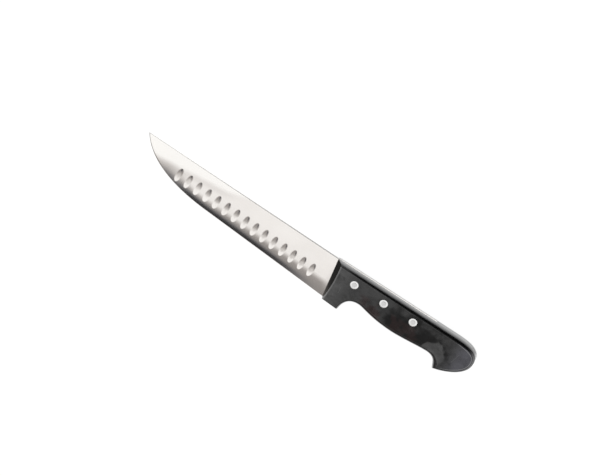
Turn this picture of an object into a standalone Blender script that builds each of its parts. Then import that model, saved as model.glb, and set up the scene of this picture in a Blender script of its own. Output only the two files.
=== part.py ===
# A butcher knife with a fluted 180 mm blade and a riveted handle.
#
# The blade and its tang are one piece of flat steel, ground to a wedge and hollowed by two rows of
# oval flutes. Two moulded scales are milled out to take the tang between them, which shows as a
# bright line along the top of the grip, and three two-part rivets hold the sandwich together.
# The knife lies on its right scale. Until the last step everything is placed in the knife's own
# axes: x runs along the spine from the front of the handle (0) to the butt, y rises from the
# cutting edge to the spine (0), and z runs through the thickness from the tang's middle plane (0).
# Sizes are in metres and angles in degrees.

import math

import bmesh
import bpy
import numpy as np

# Blade
BLADE_LENGTH = 0.180         # tip to the front of the handle, along the spine
BLADE_HEIGHT = 0.034         # spine to edge at the heel
EDGE_SLOPE = 2.86            # straight part of the edge against the spine
SWEEP_LENGTH = 0.070         # the curved part of the edge, up to the tip
SWEEP_HEADING = 123.8        # direction of the edge as it reaches the tip
SWEEP_PULLS = (0.327, 0.335)  # of the curved edge, where it starts and at the tip; see bezier
SWEEP_STEPS = 20
STRAIGHT_STEPS = 12
TIP_HEIGHT = 0.0003          # blunt end of the tip
STOCK_THICKNESS = 0.0025     # the flat steel that the knife is cut from
SPINE_GRIND = 0.0002         # what grinding takes off that thickness at the heel's spine
SPINE_AT_TIP = 0.0011        # thickness of the spine at the tip
SHOULDER_SHARE = 0.74        # share of the depth that is ground flat, above the rounded edge
SHOULDER_THINNING = 0.68     # thickness at that shoulder against the spine above it
EDGE_THICKNESS = 0.0002

# Flutes
FLUTE_COUNT = 15
FLUTE_PITCH = 0.0092
FLUTE_LENGTH = 0.0123        # across the blade
FLUTE_WIDTH = 0.0045         # along the blade
FLUTE_DEPTH = 0.00025
FLUTE_BALL_HEIGHT = 0.003    # half height of the ellipsoid that cuts a flute
FLUTE_LAST = -0.0134         # middle of the flute nearest the handle
FLUTE_LAST_DEPTH = 0.0205    # its middle below the spine
FLUTE_FIRST_DEPTH = 0.0158   # middle of the flute nearest the tip
FLUTE_STAGGER = 0.5          # how far the right side's row lies ahead, in pitches
FLUTE_SEGMENTS = 16          # sides of the ellipsoid that cuts a flute
FLUTE_RINGS = 20

# Handle outline
HANDLE_LENGTH = 0.136        # front of the handle to the butt, along the spine
FRONT_LEAN = 10.4            # front line against a square cut
FRONT_CROSSING = 0.0026      # depth at which the front line passes x = 0
TOP_AT_FRONT = 0.0003        # top line above the blade's spine, at the front
TOP_AT_BUTT = 0.0020         # top line above the blade's spine, where the butt curve starts
BUTT_CURVE = 0.024           # length of the curve from the top line to the butt
BUTT_DEPTH = 0.011           # depth of the rearmost point
BEAK_LENGTH = 0.0263         # beak tip to the butt
BEAK_DEPTH = 0.0323
GRIP_END = 0.038             # hollow before the beak to the butt
GRIP_END_DEPTH = 0.0229
BELLY_DEPTH = 0.0257
GRIP_FRONT_DEPTH = 0.0219    # hollow behind the guard
GRIP_FRONT_REACH = 0.0113    # from the back of the guard to that hollow
GUARD_LENGTH = 0.0217        # front of the handle to the back of the guard
HEEL_REVEAL = 0.0008         # how far the heel reaches below the guard
GUARD_FLARE = 0.0008         # how much deeper the guard is at its back than at its front
GUARD_WALL = 0.0020          # handle below the steel inside the guard

# Curves of the handle outline, as a heading in degrees and a pull at each place; see bezier
BUTT_TOP_PULL = 0.53         # leaving the top line, along it
BUTT_FROM_ABOVE = (-91, 0.42)
BUTT_DOWNWARDS = (-91, 0.32)
BEAK_FROM_BUTT = (194, 0.33)
BEAK_TO_GRIP = (118.7, 0.372)
GRIP_END_FROM_BEAK = (181, 0.551)
GRIP_END_TO_BELLY = (181, 0.16)
BELLY_FROM_REAR = (180, 0.28)
BELLY_TO_FRONT = (180, 0.60)
GRIP_FRONT_FROM_BELLY = (180, 0.14)
GRIP_FRONT_TO_GUARD = (180, 0.483)
GUARD_BACK = (266, 0.419)
TOP_STEPS = 40               # steps along each of them in turn, from the front round to the guard
BUTT_TOP_STEPS = 32
BUTT_LOW_STEPS = 40
BEAK_STEPS = 32
BELLY_REAR_STEPS = 24
BELLY_FRONT_STEPS = 28
RECESS_STEPS = 32
RUN_ON_STEPS = 4             # straight on past the beak's tip and below the guard

# Handle section
HANDLE_THICKNESS = 0.016
CROWN_RADIUS = 0.018         # crowning of the top and the belly
TOP_ROUND_FRONT = 0.0012     # rounding of the top edge at the front, which widens to the butt
TOP_ROUND_BUTT = 0.0027
GRIP_ROUND = 0.0025          # rounding along the belly
GUARD_ROUND = 0.0016         # rounding at the back of the guard
GUARD_FOOT_ROUND = 0.0006    # rounding of the guard's lower end
FRONT_BEVEL_TOP = 0.0040     # how far the front face leans back at the spine
FRONT_BEVEL_FOOT = 0.0006    # and at the guard's foot
FRONT_BEVEL_SWELL = 0.0013   # how much further back it lies half way down

# Tang
TANG_SETBACK = 0.0437        # end of the tang to the butt
TANG_FRONT_HEIGHT = 0.0165   # below the spine line, behind the guard
TANG_END_HEIGHT = 0.0145
TANG_SHOULDER = 0.0130       # length of the full-height steel inside the guard
TANG_CORNER = 0.0030         # corner radius
TANG_OVERLAP = 0.0020        # how far the ground blade runs on into the plain tang

# Rivets
RIVET_FIRST = 0.0211         # first rivet from the front of the handle
RIVET_SETBACK = 0.0161       # last rivet to the end of the tang
RIVET_FIRST_DEPTH = 0.0087
RIVET_LAST_DEPTH = 0.0075
RIVET_NAMES = ("front", "middle", "rear")
HEAD_DIAMETER = 0.0070
HEAD_THICKNESS = 0.0014
HEAD_EDGE = 0.0002           # edge break on the head
DISH_DIAMETER = 0.0043       # the punch's mark in the head
DISH_DEPTH = 0.0002
PIN_DIAMETER = 0.0028
TUBE_DIAMETER = 0.0044
TUBE_FLOOR = 0.0008          # solid metal between the bore and the head
TUBE_END_SPACE = 0.0008      # tube's end to the other half's head
PIN_END_SPACE = 0.0005       # pin's end to the floor of the bore

CLEARANCE = 0.0003           # gap between pieces that touch
CUT_MARGIN = 0.004           # how far a cutter stands out of what it cuts
TURN_STEPS = 24              # flats round a turned piece
FILLET_STEPS = 4
UPPER_POINTS = 38            # points round a scale, along its upper and its lower side
LOWER_POINTS = 42
FOOT_POINTS = 4              # along the guard's foot
FRONT_POINTS = 8             # and up the front
END_CROWDING = 8             # how fast a ring's even spacing gives way near its sides' ends
CROWN_PART = 0.4             # the crowned part of a scale's side, counted in levels
SCALE_LEVELS = (0, 0.2, CROWN_PART, 0.55, 0.7, 0.85, 1)    # from the middle plane to the face

HALF_HANDLE = HANDLE_THICKNESS / 2
HALF_STOCK = STOCK_THICKNESS / 2
SPINE_AT_HEEL = STOCK_THICKNESS - SPINE_GRIND
TANG_END = HANDLE_LENGTH - TANG_SETBACK
GUARD_DEPTH = BLADE_HEIGHT - HEEL_REVEAL


def collection(name):
    """A new collection in the scene."""
    made = bpy.data.collections.new(name)
    bpy.context.scene.collection.children.link(made)
    return made


def material(name, colour, roughness, metallic):
    """A Principled material of one colour."""
    made = bpy.data.materials.new(name)
    made.use_nodes = True
    shader = made.node_tree.nodes["Principled BSDF"]
    shader.inputs["Base Color"].default_value = (*colour, 1.0)
    shader.inputs["Roughness"].default_value = roughness
    shader.inputs["Metallic"].default_value = metallic
    return made


def add_object(name, mesh, target, finish=None):
    """An object for a mesh, shaded smooth but for its sharp edges."""
    mesh.shade_smooth()
    mesh.set_sharp_from_angle(angle=math.radians(30))
    if finish:
        mesh.materials.append(finish)
    made = bpy.data.objects.new(name, mesh)
    target.objects.link(made)
    return made


def make_cutter(made):
    """Marks an object as a cutter, which isn't part of the knife."""
    made.hide_render = True
    made.display_type = "WIRE"
    return made


def boolean(target, other, operation="DIFFERENCE"):
    """Cuts or joins another object, left live as a modifier."""
    step = target.modifiers.new(other.name, "BOOLEAN")
    step.operation = operation
    step.solver = "EXACT"
    step.object = other


def loft(name, rings, reverse=False):
    """A closed mesh through rings of equally many points, with a flat cap at each end."""
    shape = bmesh.new()
    rows = [[shape.verts.new(point) for point in ring] for ring in rings]
    for row, following in zip(rows, rows[1:]):
        for i in range(len(row)):
            j = (i + 1) % len(row)
            shape.faces.new((row[i], row[j], following[j], following[i]))
    shape.faces.new(reversed(rows[0]))
    shape.faces.new(rows[-1])
    if reverse:
        bmesh.ops.reverse_faces(shape, faces=shape.faces)
    mesh = bpy.data.meshes.new(name)
    shape.to_mesh(mesh)
    shape.free()
    return mesh


def plate(name, outline, thickness, target):
    """A flat plate from a closed outline, centred on the middle plane."""
    curve = bpy.data.curves.new(name, "CURVE")
    curve.dimensions = "2D"
    curve.fill_mode = "BOTH"
    curve.extrude = thickness / 2
    spline = curve.splines.new("POLY")
    spline.points.add(len(outline) - 1)
    for point, (x, y) in zip(spline.points, outline):
        point.co = (x, y, 0.0, 1.0)
    spline.use_cyclic_u = True
    guide = bpy.data.objects.new(name + "_curve", curve)
    target.objects.link(guide)
    evaluated = guide.evaluated_get(bpy.context.evaluated_depsgraph_get())
    mesh = bpy.data.meshes.new_from_object(evaluated)
    bpy.data.objects.remove(guide)
    shape = bmesh.new()
    shape.from_mesh(mesh)
    bmesh.ops.remove_doubles(shape, verts=shape.verts, dist=0.00001)
    bmesh.ops.recalc_face_normals(shape, faces=shape.faces)
    shape.to_mesh(mesh)
    shape.free()
    return add_object(name, mesh, target)


def turned(name, profile, target, finish=None):
    """A turned piece: a profile of (radius, height) from the axis at the top, out and down."""
    mesh = bpy.data.meshes.new(name)
    points = [(radius, 0.0, height) for radius, height in profile]
    mesh.from_pydata(points, [(i, i + 1) for i in range(len(points) - 1)], [])
    made = add_object(name, mesh, target, finish)
    screw = made.modifiers.new("turn", "SCREW")
    screw.axis = "Z"
    screw.steps = TURN_STEPS
    screw.render_steps = TURN_STEPS
    screw.use_merge_vertices = True
    screw.merge_threshold = 0.00001
    screw.use_smooth_shade = True
    return made


def heading(degrees):
    """A unit direction in the side view."""
    return np.array([math.cos(math.radians(degrees)), math.sin(math.radians(degrees))])


def bezier(start, leaving, end, arriving, steps):
    """Points on a cubic curve between two places, without the first.

    The curve leaves the start and arrives at the end along a heading each. The pull that goes
    with a heading says how long the curve keeps to it, as a share of the straight distance.
    """
    start, end = np.array(start), np.array(end)
    span = np.linalg.norm(end - start)
    after = start + heading(leaving[0]) * span * leaving[1]
    before = end - heading(arriving[0]) * span * arriving[1]
    t = (np.arange(steps) + 1)[:, None] / steps
    return (1 - t)**3 * start + 3 * t * (1 - t)**2 * after + 3 * t**2 * (1 - t) * before + t**3 * end


def run_on(point, direction):
    """Points straight on from a place for the cut margin, without the first."""
    return point + heading(direction) * np.linspace(0, CUT_MARGIN, RUN_ON_STEPS + 1)[1:, None]


def front_line(y):
    """The x of the handle's front line on the middle plane, at a height y."""
    return math.tan(math.radians(FRONT_LEAN)) * (-y - FRONT_CROSSING)


# Blade

def edge_height(x):
    """Height y of the straight part of the edge."""
    heel = front_line(-BLADE_HEIGHT)
    return -BLADE_HEIGHT + (heel - x) * math.tan(math.radians(EDGE_SLOPE))


def edge_points(inside):
    """The cutting edge from the tip to the heel, which runs on by a length inside the handle."""
    sweep_x = -BLADE_LENGTH + SWEEP_LENGTH
    tip = (-BLADE_LENGTH, -TIP_HEIGHT)
    sweep_start = (sweep_x, edge_height(sweep_x))
    leaving = (180 - EDGE_SLOPE, SWEEP_PULLS[0])
    sweep = bezier(sweep_start, leaving, tip, (SWEEP_HEADING, SWEEP_PULLS[1]), SWEEP_STEPS)[::-1]
    heel = front_line(-BLADE_HEIGHT) + inside
    run = np.linspace(sweep_x, heel, STRAIGHT_STEPS + 1)
    straight = np.column_stack([run, edge_height(run)])
    return np.vstack([sweep, straight])


def half_thickness(x, share):
    """Half the blade's thickness at a share of the way from the spine to the edge.

    The spine thins from heel to tip. Below it each side is ground flat down to the shoulder and
    then bends over in a parabola that starts along the flat and ends at the edge.
    """
    along = np.clip(-x / BLADE_LENGTH, 0, 1)
    spine = (SPINE_AT_HEEL + (SPINE_AT_TIP - SPINE_AT_HEEL) * along) / 2
    shoulder = spine * SHOULDER_THINNING
    flat = spine + (shoulder - spine) * share / SHOULDER_SHARE
    past = np.clip((share - SHOULDER_SHARE) / (1 - SHOULDER_SHARE), 0, 1)
    end_of_flat = spine + (shoulder - spine) / SHOULDER_SHARE
    return flat - (end_of_flat - EDGE_THICKNESS / 2) * past**2


def blade_body():
    """The ground blade: sections from the spine down to the edge.

    They are square to the spine at the tip and swing round to the front line at the heel.
    """
    shares = np.append([0, SHOULDER_SHARE / 2], np.linspace(SHOULDER_SHARE, 1, 4))
    edge = edge_points(TANG_OVERLAP + CLEARANCE)
    lean = math.tan(math.radians(FRONT_LEAN)) * BLADE_HEIGHT
    rings = []
    for x, y in edge:
        blend = np.clip(1 + x / SWEEP_LENGTH, 0, 1)**2
        spine_x = x - lean * blend
        xs = spine_x + (x - spine_x) * shares
        half = half_thickness(xs, shares)
        left = np.column_stack([xs, y * shares, half])
        right = np.column_stack([xs, y * shares, -half])[::-1]
        rings.append(np.vstack([left, right]))
    return loft("blade", rings)


def top_slope():
    """Rise of the handle's top line for its length."""
    return (TOP_AT_BUTT - TOP_AT_FRONT) / (HANDLE_LENGTH - BUTT_CURVE)


def top_line(x):
    """Height of the handle's top line, which is also the top of the tang."""
    return TOP_AT_FRONT + top_slope() * x


def shoulder_depth():
    """Depth of the steel inside the guard."""
    return GUARD_DEPTH - GUARD_WALL


def fillet(before, corner, after, radius):
    """An arc of one radius that rounds the corner between two straight edges."""
    before, corner, after = np.array(before), np.array(corner), np.array(after)
    back = (before - corner) / np.linalg.norm(before - corner)
    onward = (after - corner) / np.linalg.norm(after - corner)
    half = math.acos(float(back @ onward)) / 2
    centre = corner + (back + onward) / np.linalg.norm(back + onward) * radius / math.sin(half)
    points = []
    for share in np.linspace(0, 1, FILLET_STEPS + 1):
        chord = corner + (back * (1 - share) + onward * share) * radius / math.tan(half)
        spoke = (chord - centre) / np.linalg.norm(chord - centre)
        points.append(tuple(centre + spoke * radius))
    return points


def tang_corners(grow):
    """The three rounded corners of the tang, from its end forward, grown by a clearance."""
    low = -shoulder_depth() - grow
    shoulder = front_line(low) + TANG_SHOULDER + grow
    end_top = (TANG_END + grow, top_line(TANG_END))
    end = (TANG_END + grow, -TANG_END_HEIGHT - grow)
    neck = (shoulder, -TANG_FRONT_HEIGHT - grow)
    toe = (shoulder, low)
    front = (front_line(low), low)
    points = fillet(end_top, end, neck, TANG_CORNER)
    points += fillet(end, neck, toe, TANG_CORNER)
    return points + fillet(neck, toe, front, TANG_CORNER)


def tang_plate(target):
    """The plain tang, flush with the top of the handle, whose front hides inside it."""
    low = -shoulder_depth()
    outline = [(front_line(0) + CLEARANCE, top_line(0)), (TANG_END, top_line(TANG_END))]
    outline += tang_corners(0)
    outline += [(front_line(low) + CLEARANCE, low)]
    return plate("tang", outline, STOCK_THICKNESS, target)


def heel_cutter(target):
    """Takes away the blade's lower corner behind the heel, along the front line."""
    top = -shoulder_depth()
    foot = -BLADE_HEIGHT - CUT_MARGIN
    back = front_line(foot) + TANG_OVERLAP + CUT_MARGIN
    outline = [(front_line(top) - CLEARANCE, top), (front_line(foot) - CLEARANCE, foot),
               (back, foot), (back, top)]
    return plate("heel_cut", outline, HANDLE_THICKNESS, target)


def flute_cutters(name, side, first, target):
    """One row of flutes: ellipsoids that dip into one side of the blade, from a first number."""
    edge = edge_points(0)
    cap = 1 - FLUTE_DEPTH / FLUTE_BALL_HEIGHT
    spread = math.sqrt(1 - cap * cap)
    size = (FLUTE_WIDTH / 2 / spread, FLUTE_LENGTH / 2 / spread, FLUTE_BALL_HEIGHT)
    shape = bmesh.new()
    for i in range(FLUTE_COUNT):
        place = i + first
        x = FLUTE_LAST - FLUTE_PITCH * place
        depth = FLUTE_LAST_DEPTH + (FLUTE_FIRST_DEPTH - FLUTE_LAST_DEPTH) * place / (FLUTE_COUNT - 1)
        skin = float(half_thickness(x, -depth / np.interp(x, edge[:, 0], edge[:, 1])))
        ball = bmesh.ops.create_uvsphere(
            shape, u_segments=FLUTE_SEGMENTS, v_segments=FLUTE_RINGS, radius=1)["verts"]
        bmesh.ops.scale(shape, verts=ball, vec=size)
        bmesh.ops.translate(shape, verts=ball, vec=(x, -depth, side * (skin + cap * size[2])))
    mesh = bpy.data.meshes.new(name)
    shape.to_mesh(mesh)
    shape.free()
    return add_object(name, mesh, target)


# Handle

def offset_curve(points, distance):
    """Moves each point of a curve inwards, to the right of its direction of travel."""
    step = np.gradient(points, axis=0)
    step = step / np.linalg.norm(step, axis=1)[:, None]
    inward = np.column_stack([step[:, 1], -step[:, 0]])
    return points + inward * distance[:, None]


def crossing(first, second):
    """Where two curves cross, as a place along each, counted in points."""
    a, b = first[:-1, None], np.diff(first, axis=0)[:, None]
    c, d = second[None, :-1], np.diff(second, axis=0)[None]
    gap = c - a
    cross = b[..., 0] * d[..., 1] - b[..., 1] * d[..., 0]
    cross = np.where(cross == 0, np.finfo(float).tiny, cross)
    s = (gap[..., 0] * d[..., 1] - gap[..., 1] * d[..., 0]) / cross
    t = (gap[..., 0] * b[..., 1] - gap[..., 1] * b[..., 0]) / cross
    i, j = np.argwhere((s >= 0) & (s < 1) & (t >= 0) & (t < 1))[0]
    return i + s[i, j], j + t[i, j]


def zero_place(values):
    """The place, counted in points, where a row of values first changes its sign."""
    i = int(np.argmax(np.sign(values[1:]) != np.sign(values[:-1])))
    return i + values[i] / (values[i] - values[i + 1])


def side_profile(level, rounding):
    """How far in and how high the handle's side is at a level from 0, the middle, to 1, the face.

    The side is an arc of the crown radius round the middle plane. It runs smoothly into an arc of
    the edge's rounding, which ends flat on the face. Returns the inset and the height.
    """
    lift = (HALF_HANDLE - rounding) / (CROWN_RADIUS - rounding)
    bend = np.arcsin(lift)
    centre = CROWN_RADIUS - (CROWN_RADIUS - rounding) * np.cos(bend)
    if level <= CROWN_PART:
        angle = bend * level / CROWN_PART
        return CROWN_RADIUS * (1 - np.cos(angle)), CROWN_RADIUS * np.sin(angle)
    angle = bend + (math.pi / 2 - bend) * (level - CROWN_PART) / (1 - CROWN_PART)
    return centre - rounding * np.cos(angle), HALF_HANDLE - rounding + rounding * np.sin(angle)


def upper_side():
    """Top line and butt, from ahead of the front to the beak's tip and a little past it."""
    butt_start = HANDLE_LENGTH - BUTT_CURVE
    start = (-CUT_MARGIN, top_line(-CUT_MARGIN))
    corner = (butt_start, top_line(butt_start))
    rearmost = (HANDLE_LENGTH, -BUTT_DEPTH)
    tip = (HANDLE_LENGTH - BEAK_LENGTH, -BEAK_DEPTH)
    line = np.linspace(start, corner, TOP_STEPS)
    leaving = (math.degrees(math.atan(top_slope())), BUTT_TOP_PULL)
    top = bezier(corner, leaving, rearmost, BUTT_FROM_ABOVE, BUTT_TOP_STEPS)
    low = bezier(rearmost, BUTT_DOWNWARDS, tip, BEAK_FROM_BUTT, BUTT_LOW_STEPS)
    points = np.vstack([line, top, low, run_on(low[-1], BEAK_FROM_BUTT[0])])
    along = np.clip(points[:, 0] / butt_start, 0, 1)
    growing = TOP_ROUND_FRONT + (TOP_ROUND_BUTT - TOP_ROUND_FRONT) * along
    return points, np.where(np.arange(len(points)) < len(line), growing, TOP_ROUND_BUTT)


def lower_side():
    """Beak, belly and the back of the guard, from past the beak's tip to below the guard."""
    tip = (HANDLE_LENGTH - BEAK_LENGTH, -BEAK_DEPTH)
    grip_end = (HANDLE_LENGTH - GRIP_END, -GRIP_END_DEPTH)
    grip_front = (GUARD_LENGTH + GRIP_FRONT_REACH, -GRIP_FRONT_DEPTH)
    belly = ((grip_end[0] + grip_front[0]) / 2, -BELLY_DEPTH)
    guard = (GUARD_LENGTH, guard_foot(GUARD_LENGTH))
    before = np.vstack([run_on(tip, BEAK_TO_GRIP[0] + 180)[::-1], tip])
    beak = bezier(tip, BEAK_TO_GRIP, grip_end, GRIP_END_FROM_BEAK, BEAK_STEPS)
    rear = bezier(grip_end, GRIP_END_TO_BELLY, belly, BELLY_FROM_REAR, BELLY_REAR_STEPS)
    front = bezier(belly, BELLY_TO_FRONT, grip_front, GRIP_FRONT_FROM_BELLY, BELLY_FRONT_STEPS)
    recess = bezier(grip_front, GRIP_FRONT_TO_GUARD, guard, GUARD_BACK, RECESS_STEPS)
    below = run_on(recess[-1], GUARD_BACK[0])
    points = np.vstack([before, beak, rear, front, recess, below])
    place = np.arange(len(points))
    stops = np.cumsum([len(before), len(beak), len(rear), len(front), len(recess), len(below)])
    sizes = [TOP_ROUND_BUTT, GRIP_ROUND, GRIP_ROUND, GRIP_ROUND, GUARD_ROUND, GUARD_ROUND]
    return points, np.interp(place, stops, sizes, left=TOP_ROUND_BUTT)


def guard_foot(x):
    """Height of the guard's lower end."""
    share = x / GUARD_LENGTH
    return -GUARD_DEPTH - GUARD_FLARE * share


def foot_inset(z):
    """How far the rounding of the guard's foot draws its outline up at a height z."""
    rise = np.clip(z - HALF_HANDLE + GUARD_FOOT_ROUND, 0, GUARD_FOOT_ROUND)
    return GUARD_FOOT_ROUND - np.sqrt(GUARD_FOOT_ROUND**2 - rise**2)


def front_face(y, z):
    """The x of the handle's front at a height y, and z out from the middle plane.

    At the tang the front follows the front line. Further out it leans back, more at the spine
    than at the foot, and swells half way down.
    """
    down = np.clip(-y / GUARD_DEPTH, 0, 1)
    lean = FRONT_BEVEL_TOP + (FRONT_BEVEL_FOOT - FRONT_BEVEL_TOP) * down
    lean = lean + FRONT_BEVEL_SWELL * 4 * down * (1 - down)
    out = np.clip((z - HALF_STOCK) / (HALF_HANDLE - HALF_STOCK), 0, 1)
    return front_line(y) + lean * out


def trimmed(points, rounding, level, first, last, count):
    """A side at one level, cut to a range and spaced anew, as points with their heights."""
    share = np.linspace(0, 1, count)
    whole = len(points) - 1
    start = first / whole * (1 - share)**END_CROWDING
    stop = (1 - last / whole) * share**END_CROWDING
    place = np.clip((share + start - stop) * whole, first, last)
    inset, height = side_profile(level, rounding)
    moved = offset_curve(points, inset)
    index = np.arange(len(points))
    columns = [moved[:, 0], moved[:, 1], np.broadcast_to(height, index.shape)]
    return np.column_stack([np.interp(place, index, column) for column in columns])


def scale_ring(level):
    """One closed ring round a scale at a level of its side profile.

    The ring runs clockwise in the side view: the upper side, the lower side, the guard's foot and
    the front. Where two of them meet, each stops at the other, so the corners stay crisp.
    """
    upper, upper_round = upper_side()
    lower, lower_round = lower_side()
    upper_inset, upper_z = side_profile(level, upper_round)
    lower_inset, lower_z = side_profile(level, lower_round)
    upper_at = offset_curve(upper, upper_inset)
    lower_at = offset_curve(lower, lower_inset)
    half = len(upper) // 2
    quarter = len(lower) // 4
    tip_upper, tip_lower = crossing(upper_at[half:], lower_at[:quarter])
    start = zero_place(upper_at[:, 0] - front_face(upper_at[:, 1], upper_z))
    foot = guard_foot(lower_at[:, 0]) + foot_inset(lower_z)
    stop = len(lower) // 2 + zero_place((lower_at[:, 1] - foot)[len(lower) // 2:])
    top = trimmed(upper, upper_round, level, start, tip_upper + half, UPPER_POINTS)
    low = trimmed(lower, lower_round, level, tip_lower, stop, LOWER_POINTS)
    corner_z = low[-1, 2]
    corner_y = guard_foot(front_line(-GUARD_DEPTH)) + foot_inset(corner_z)
    corner = np.array([front_face(corner_y, corner_z), corner_y, corner_z])
    base = low[-1] + (corner - low[-1]) * np.linspace(0, 1, FOOT_POINTS)[1:, None]
    rise = corner + (top[0] - corner) * np.linspace(0, 1, FRONT_POINTS)[1:-1, None]
    rise[:, 0] = front_face(rise[:, 1], rise[:, 2])
    return np.vstack([top, low[1:], base, rise])


def scale(name, side, finish, target):
    """One scale: rings from the middle plane out to the flat face, on one side of the tang."""
    rings = []
    for level in SCALE_LEVELS:
        ring = scale_ring(level)
        ring[:, 2] = side * np.maximum(ring[:, 2], CLEARANCE / 2)
        rings.append(ring)
    return add_object(name, loft(name, rings, reverse=side > 0), target, finish)


def pocket_cutter(target):
    """Mills the scales for the tang, open at the front and along the top."""
    ahead = -CUT_MARGIN - FRONT_BEVEL_TOP
    above = TOP_AT_BUTT + CUT_MARGIN
    outline = [(ahead, above), (TANG_END + CLEARANCE, above)]
    outline += tang_corners(CLEARANCE)
    outline += [(ahead, -shoulder_depth() - CLEARANCE)]
    return plate("pocket", outline, STOCK_THICKNESS + 2 * CLEARANCE, target)


# Rivets

def rivet_places():
    """The three rivets, evenly spaced between the first and the last."""
    xs = np.linspace(RIVET_FIRST, TANG_END - RIVET_SETBACK, len(RIVET_NAMES))
    depths = np.linspace(RIVET_FIRST_DEPTH, RIVET_LAST_DEPTH, len(RIVET_NAMES))
    return [(float(x), -float(depth)) for x, depth in zip(xs, depths)]


def head_profile():
    """The head that both halves share, from the middle of its dish down to its underside."""
    dish = DISH_DIAMETER / 2
    head = HEAD_DIAMETER / 2
    hollow = [(dish * share, -DISH_DEPTH * (1 - share**2)) for share in (0, 0.4, 0.75, 1)]
    return hollow + [(head - HEAD_EDGE, 0), (head, -HEAD_EDGE), (head, -HEAD_THICKNESS)]


def pin_half(name, target, finish):
    """The solid half: a head and a pin that reaches into the other half's bore."""
    radius = PIN_DIAMETER / 2
    length = HANDLE_THICKNESS - HEAD_THICKNESS - TUBE_FLOOR - PIN_END_SPACE
    profile = head_profile() + [(radius, -HEAD_THICKNESS), (radius, -length + HEAD_EDGE),
                                (radius - HEAD_EDGE, -length), (0, -length)]
    return turned(name, profile, target, finish)


def tube_half(name, target, finish):
    """The hollow half: a head and a tube whose bore takes the pin."""
    radius = TUBE_DIAMETER / 2
    bore = PIN_DIAMETER / 2 + CLEARANCE
    length = HANDLE_THICKNESS - HEAD_THICKNESS - TUBE_END_SPACE
    floor = HEAD_THICKNESS + TUBE_FLOOR
    profile = head_profile() + [(radius, -HEAD_THICKNESS), (radius, -length), (bore, -length),
                                (bore, -floor), (0, -floor)]
    return turned(name, profile, target, finish)


def hole_cutter(name, target):
    """A rivet's hole through both scales and the tang, stepped at each end for a head."""
    hole = TUBE_DIAMETER / 2 + CLEARANCE
    seat = HEAD_DIAMETER / 2 + CLEARANCE
    step = HALF_HANDLE - HEAD_THICKNESS - CLEARANCE
    end = HALF_HANDLE + CUT_MARGIN
    profile = [(0, end), (seat, end), (seat, step), (hole, step),
               (hole, -step), (seat, -step), (seat, -end), (0, -end)]
    return turned(name, profile, target)


def knife_centre():
    """Middle of the knife's box along x and y, in the knife's own axes."""
    upper, _ = upper_side()
    lower, _ = lower_side()
    lowest = min(-BLADE_HEIGHT, -GUARD_DEPTH - GUARD_FLARE, -BEAK_DEPTH)
    x = (upper[:, 0].max() - BLADE_LENGTH) / 2
    y = (upper[:, 1].max() + lowest) / 2
    return float(x), float(y)


def build():
    """Makes the knife, with its pieces on one empty that lays it down on the ground."""
    for old in list(bpy.data.objects):
        bpy.data.objects.remove(old)
    parts = collection("butcher_knife")
    cutters = collection("cutters")
    steel = material("ground_steel", (0.62, 0.60, 0.57), 0.28, 1.0)
    plastic = material("black_handle_plastic", (0.012, 0.012, 0.013), 0.22, 0.0)
    rivet_metal = material("rivet_metal", (0.80, 0.80, 0.79), 0.32, 1.0)

    blade = add_object("blade", blade_body(), parts, steel)
    heel_cut = make_cutter(heel_cutter(cutters))
    tang = make_cutter(tang_plate(cutters))
    pocket = make_cutter(pocket_cutter(cutters))
    left = scale("scale_left", 1, plastic, parts)
    right = scale("scale_right", -1, plastic, parts)
    boolean(blade, heel_cut)
    boolean(blade, tang, "UNION")
    boolean(blade, make_cutter(flute_cutters("flutes_left", 1, 0, cutters)))
    boolean(blade, make_cutter(flute_cutters("flutes_right", -1, -FLUTE_STAGGER, cutters)))
    boolean(left, pocket)
    boolean(right, pocket)
    pieces = [blade, heel_cut, tang, pocket, left, right]
    pieces += [bpy.data.objects["flutes_left"], bpy.data.objects["flutes_right"]]

    for label, (x, y) in zip(RIVET_NAMES, rivet_places()):
        hole = make_cutter(hole_cutter("hole_" + label, cutters))
        hole.location = (x, y, 0)
        pin = pin_half("rivet_pin_" + label, parts, rivet_metal)
        pin.location = (x, y, HALF_HANDLE)
        tube = tube_half("rivet_tube_" + label, parts, rivet_metal)
        tube.location = (x, y, -HALF_HANDLE)
        tube.rotation_euler = (math.pi, 0, 0)
        for piece in (blade, left, right):
            boolean(piece, hole)
        pieces += [hole, pin, tube]

    middle_x, middle_y = knife_centre()
    knife = bpy.data.objects.new("knife", None)
    knife.location = (-middle_x, -middle_y, HALF_HANDLE)
    parts.objects.link(knife)
    for piece in pieces:
        piece.parent = knife


build()
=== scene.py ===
# %% [markdown]
# # Dressing a butcher knife
#
# A knife like this is a sandwich. One flat piece of steel is both the blade and the tang, a black
# plastic scale lies on each side of the tang, and three metal rivets pull the layers together.
# The packed model gives the true sizes and places, but its surfaces are coarse. These cells lay a
# finer surface over each piece, give each surface a finish, and light it in a white studio.

# %% Load the packed knife
import math

import bmesh
import bpy
import numpy as np
from mathutils import Matrix, Vector


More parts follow.
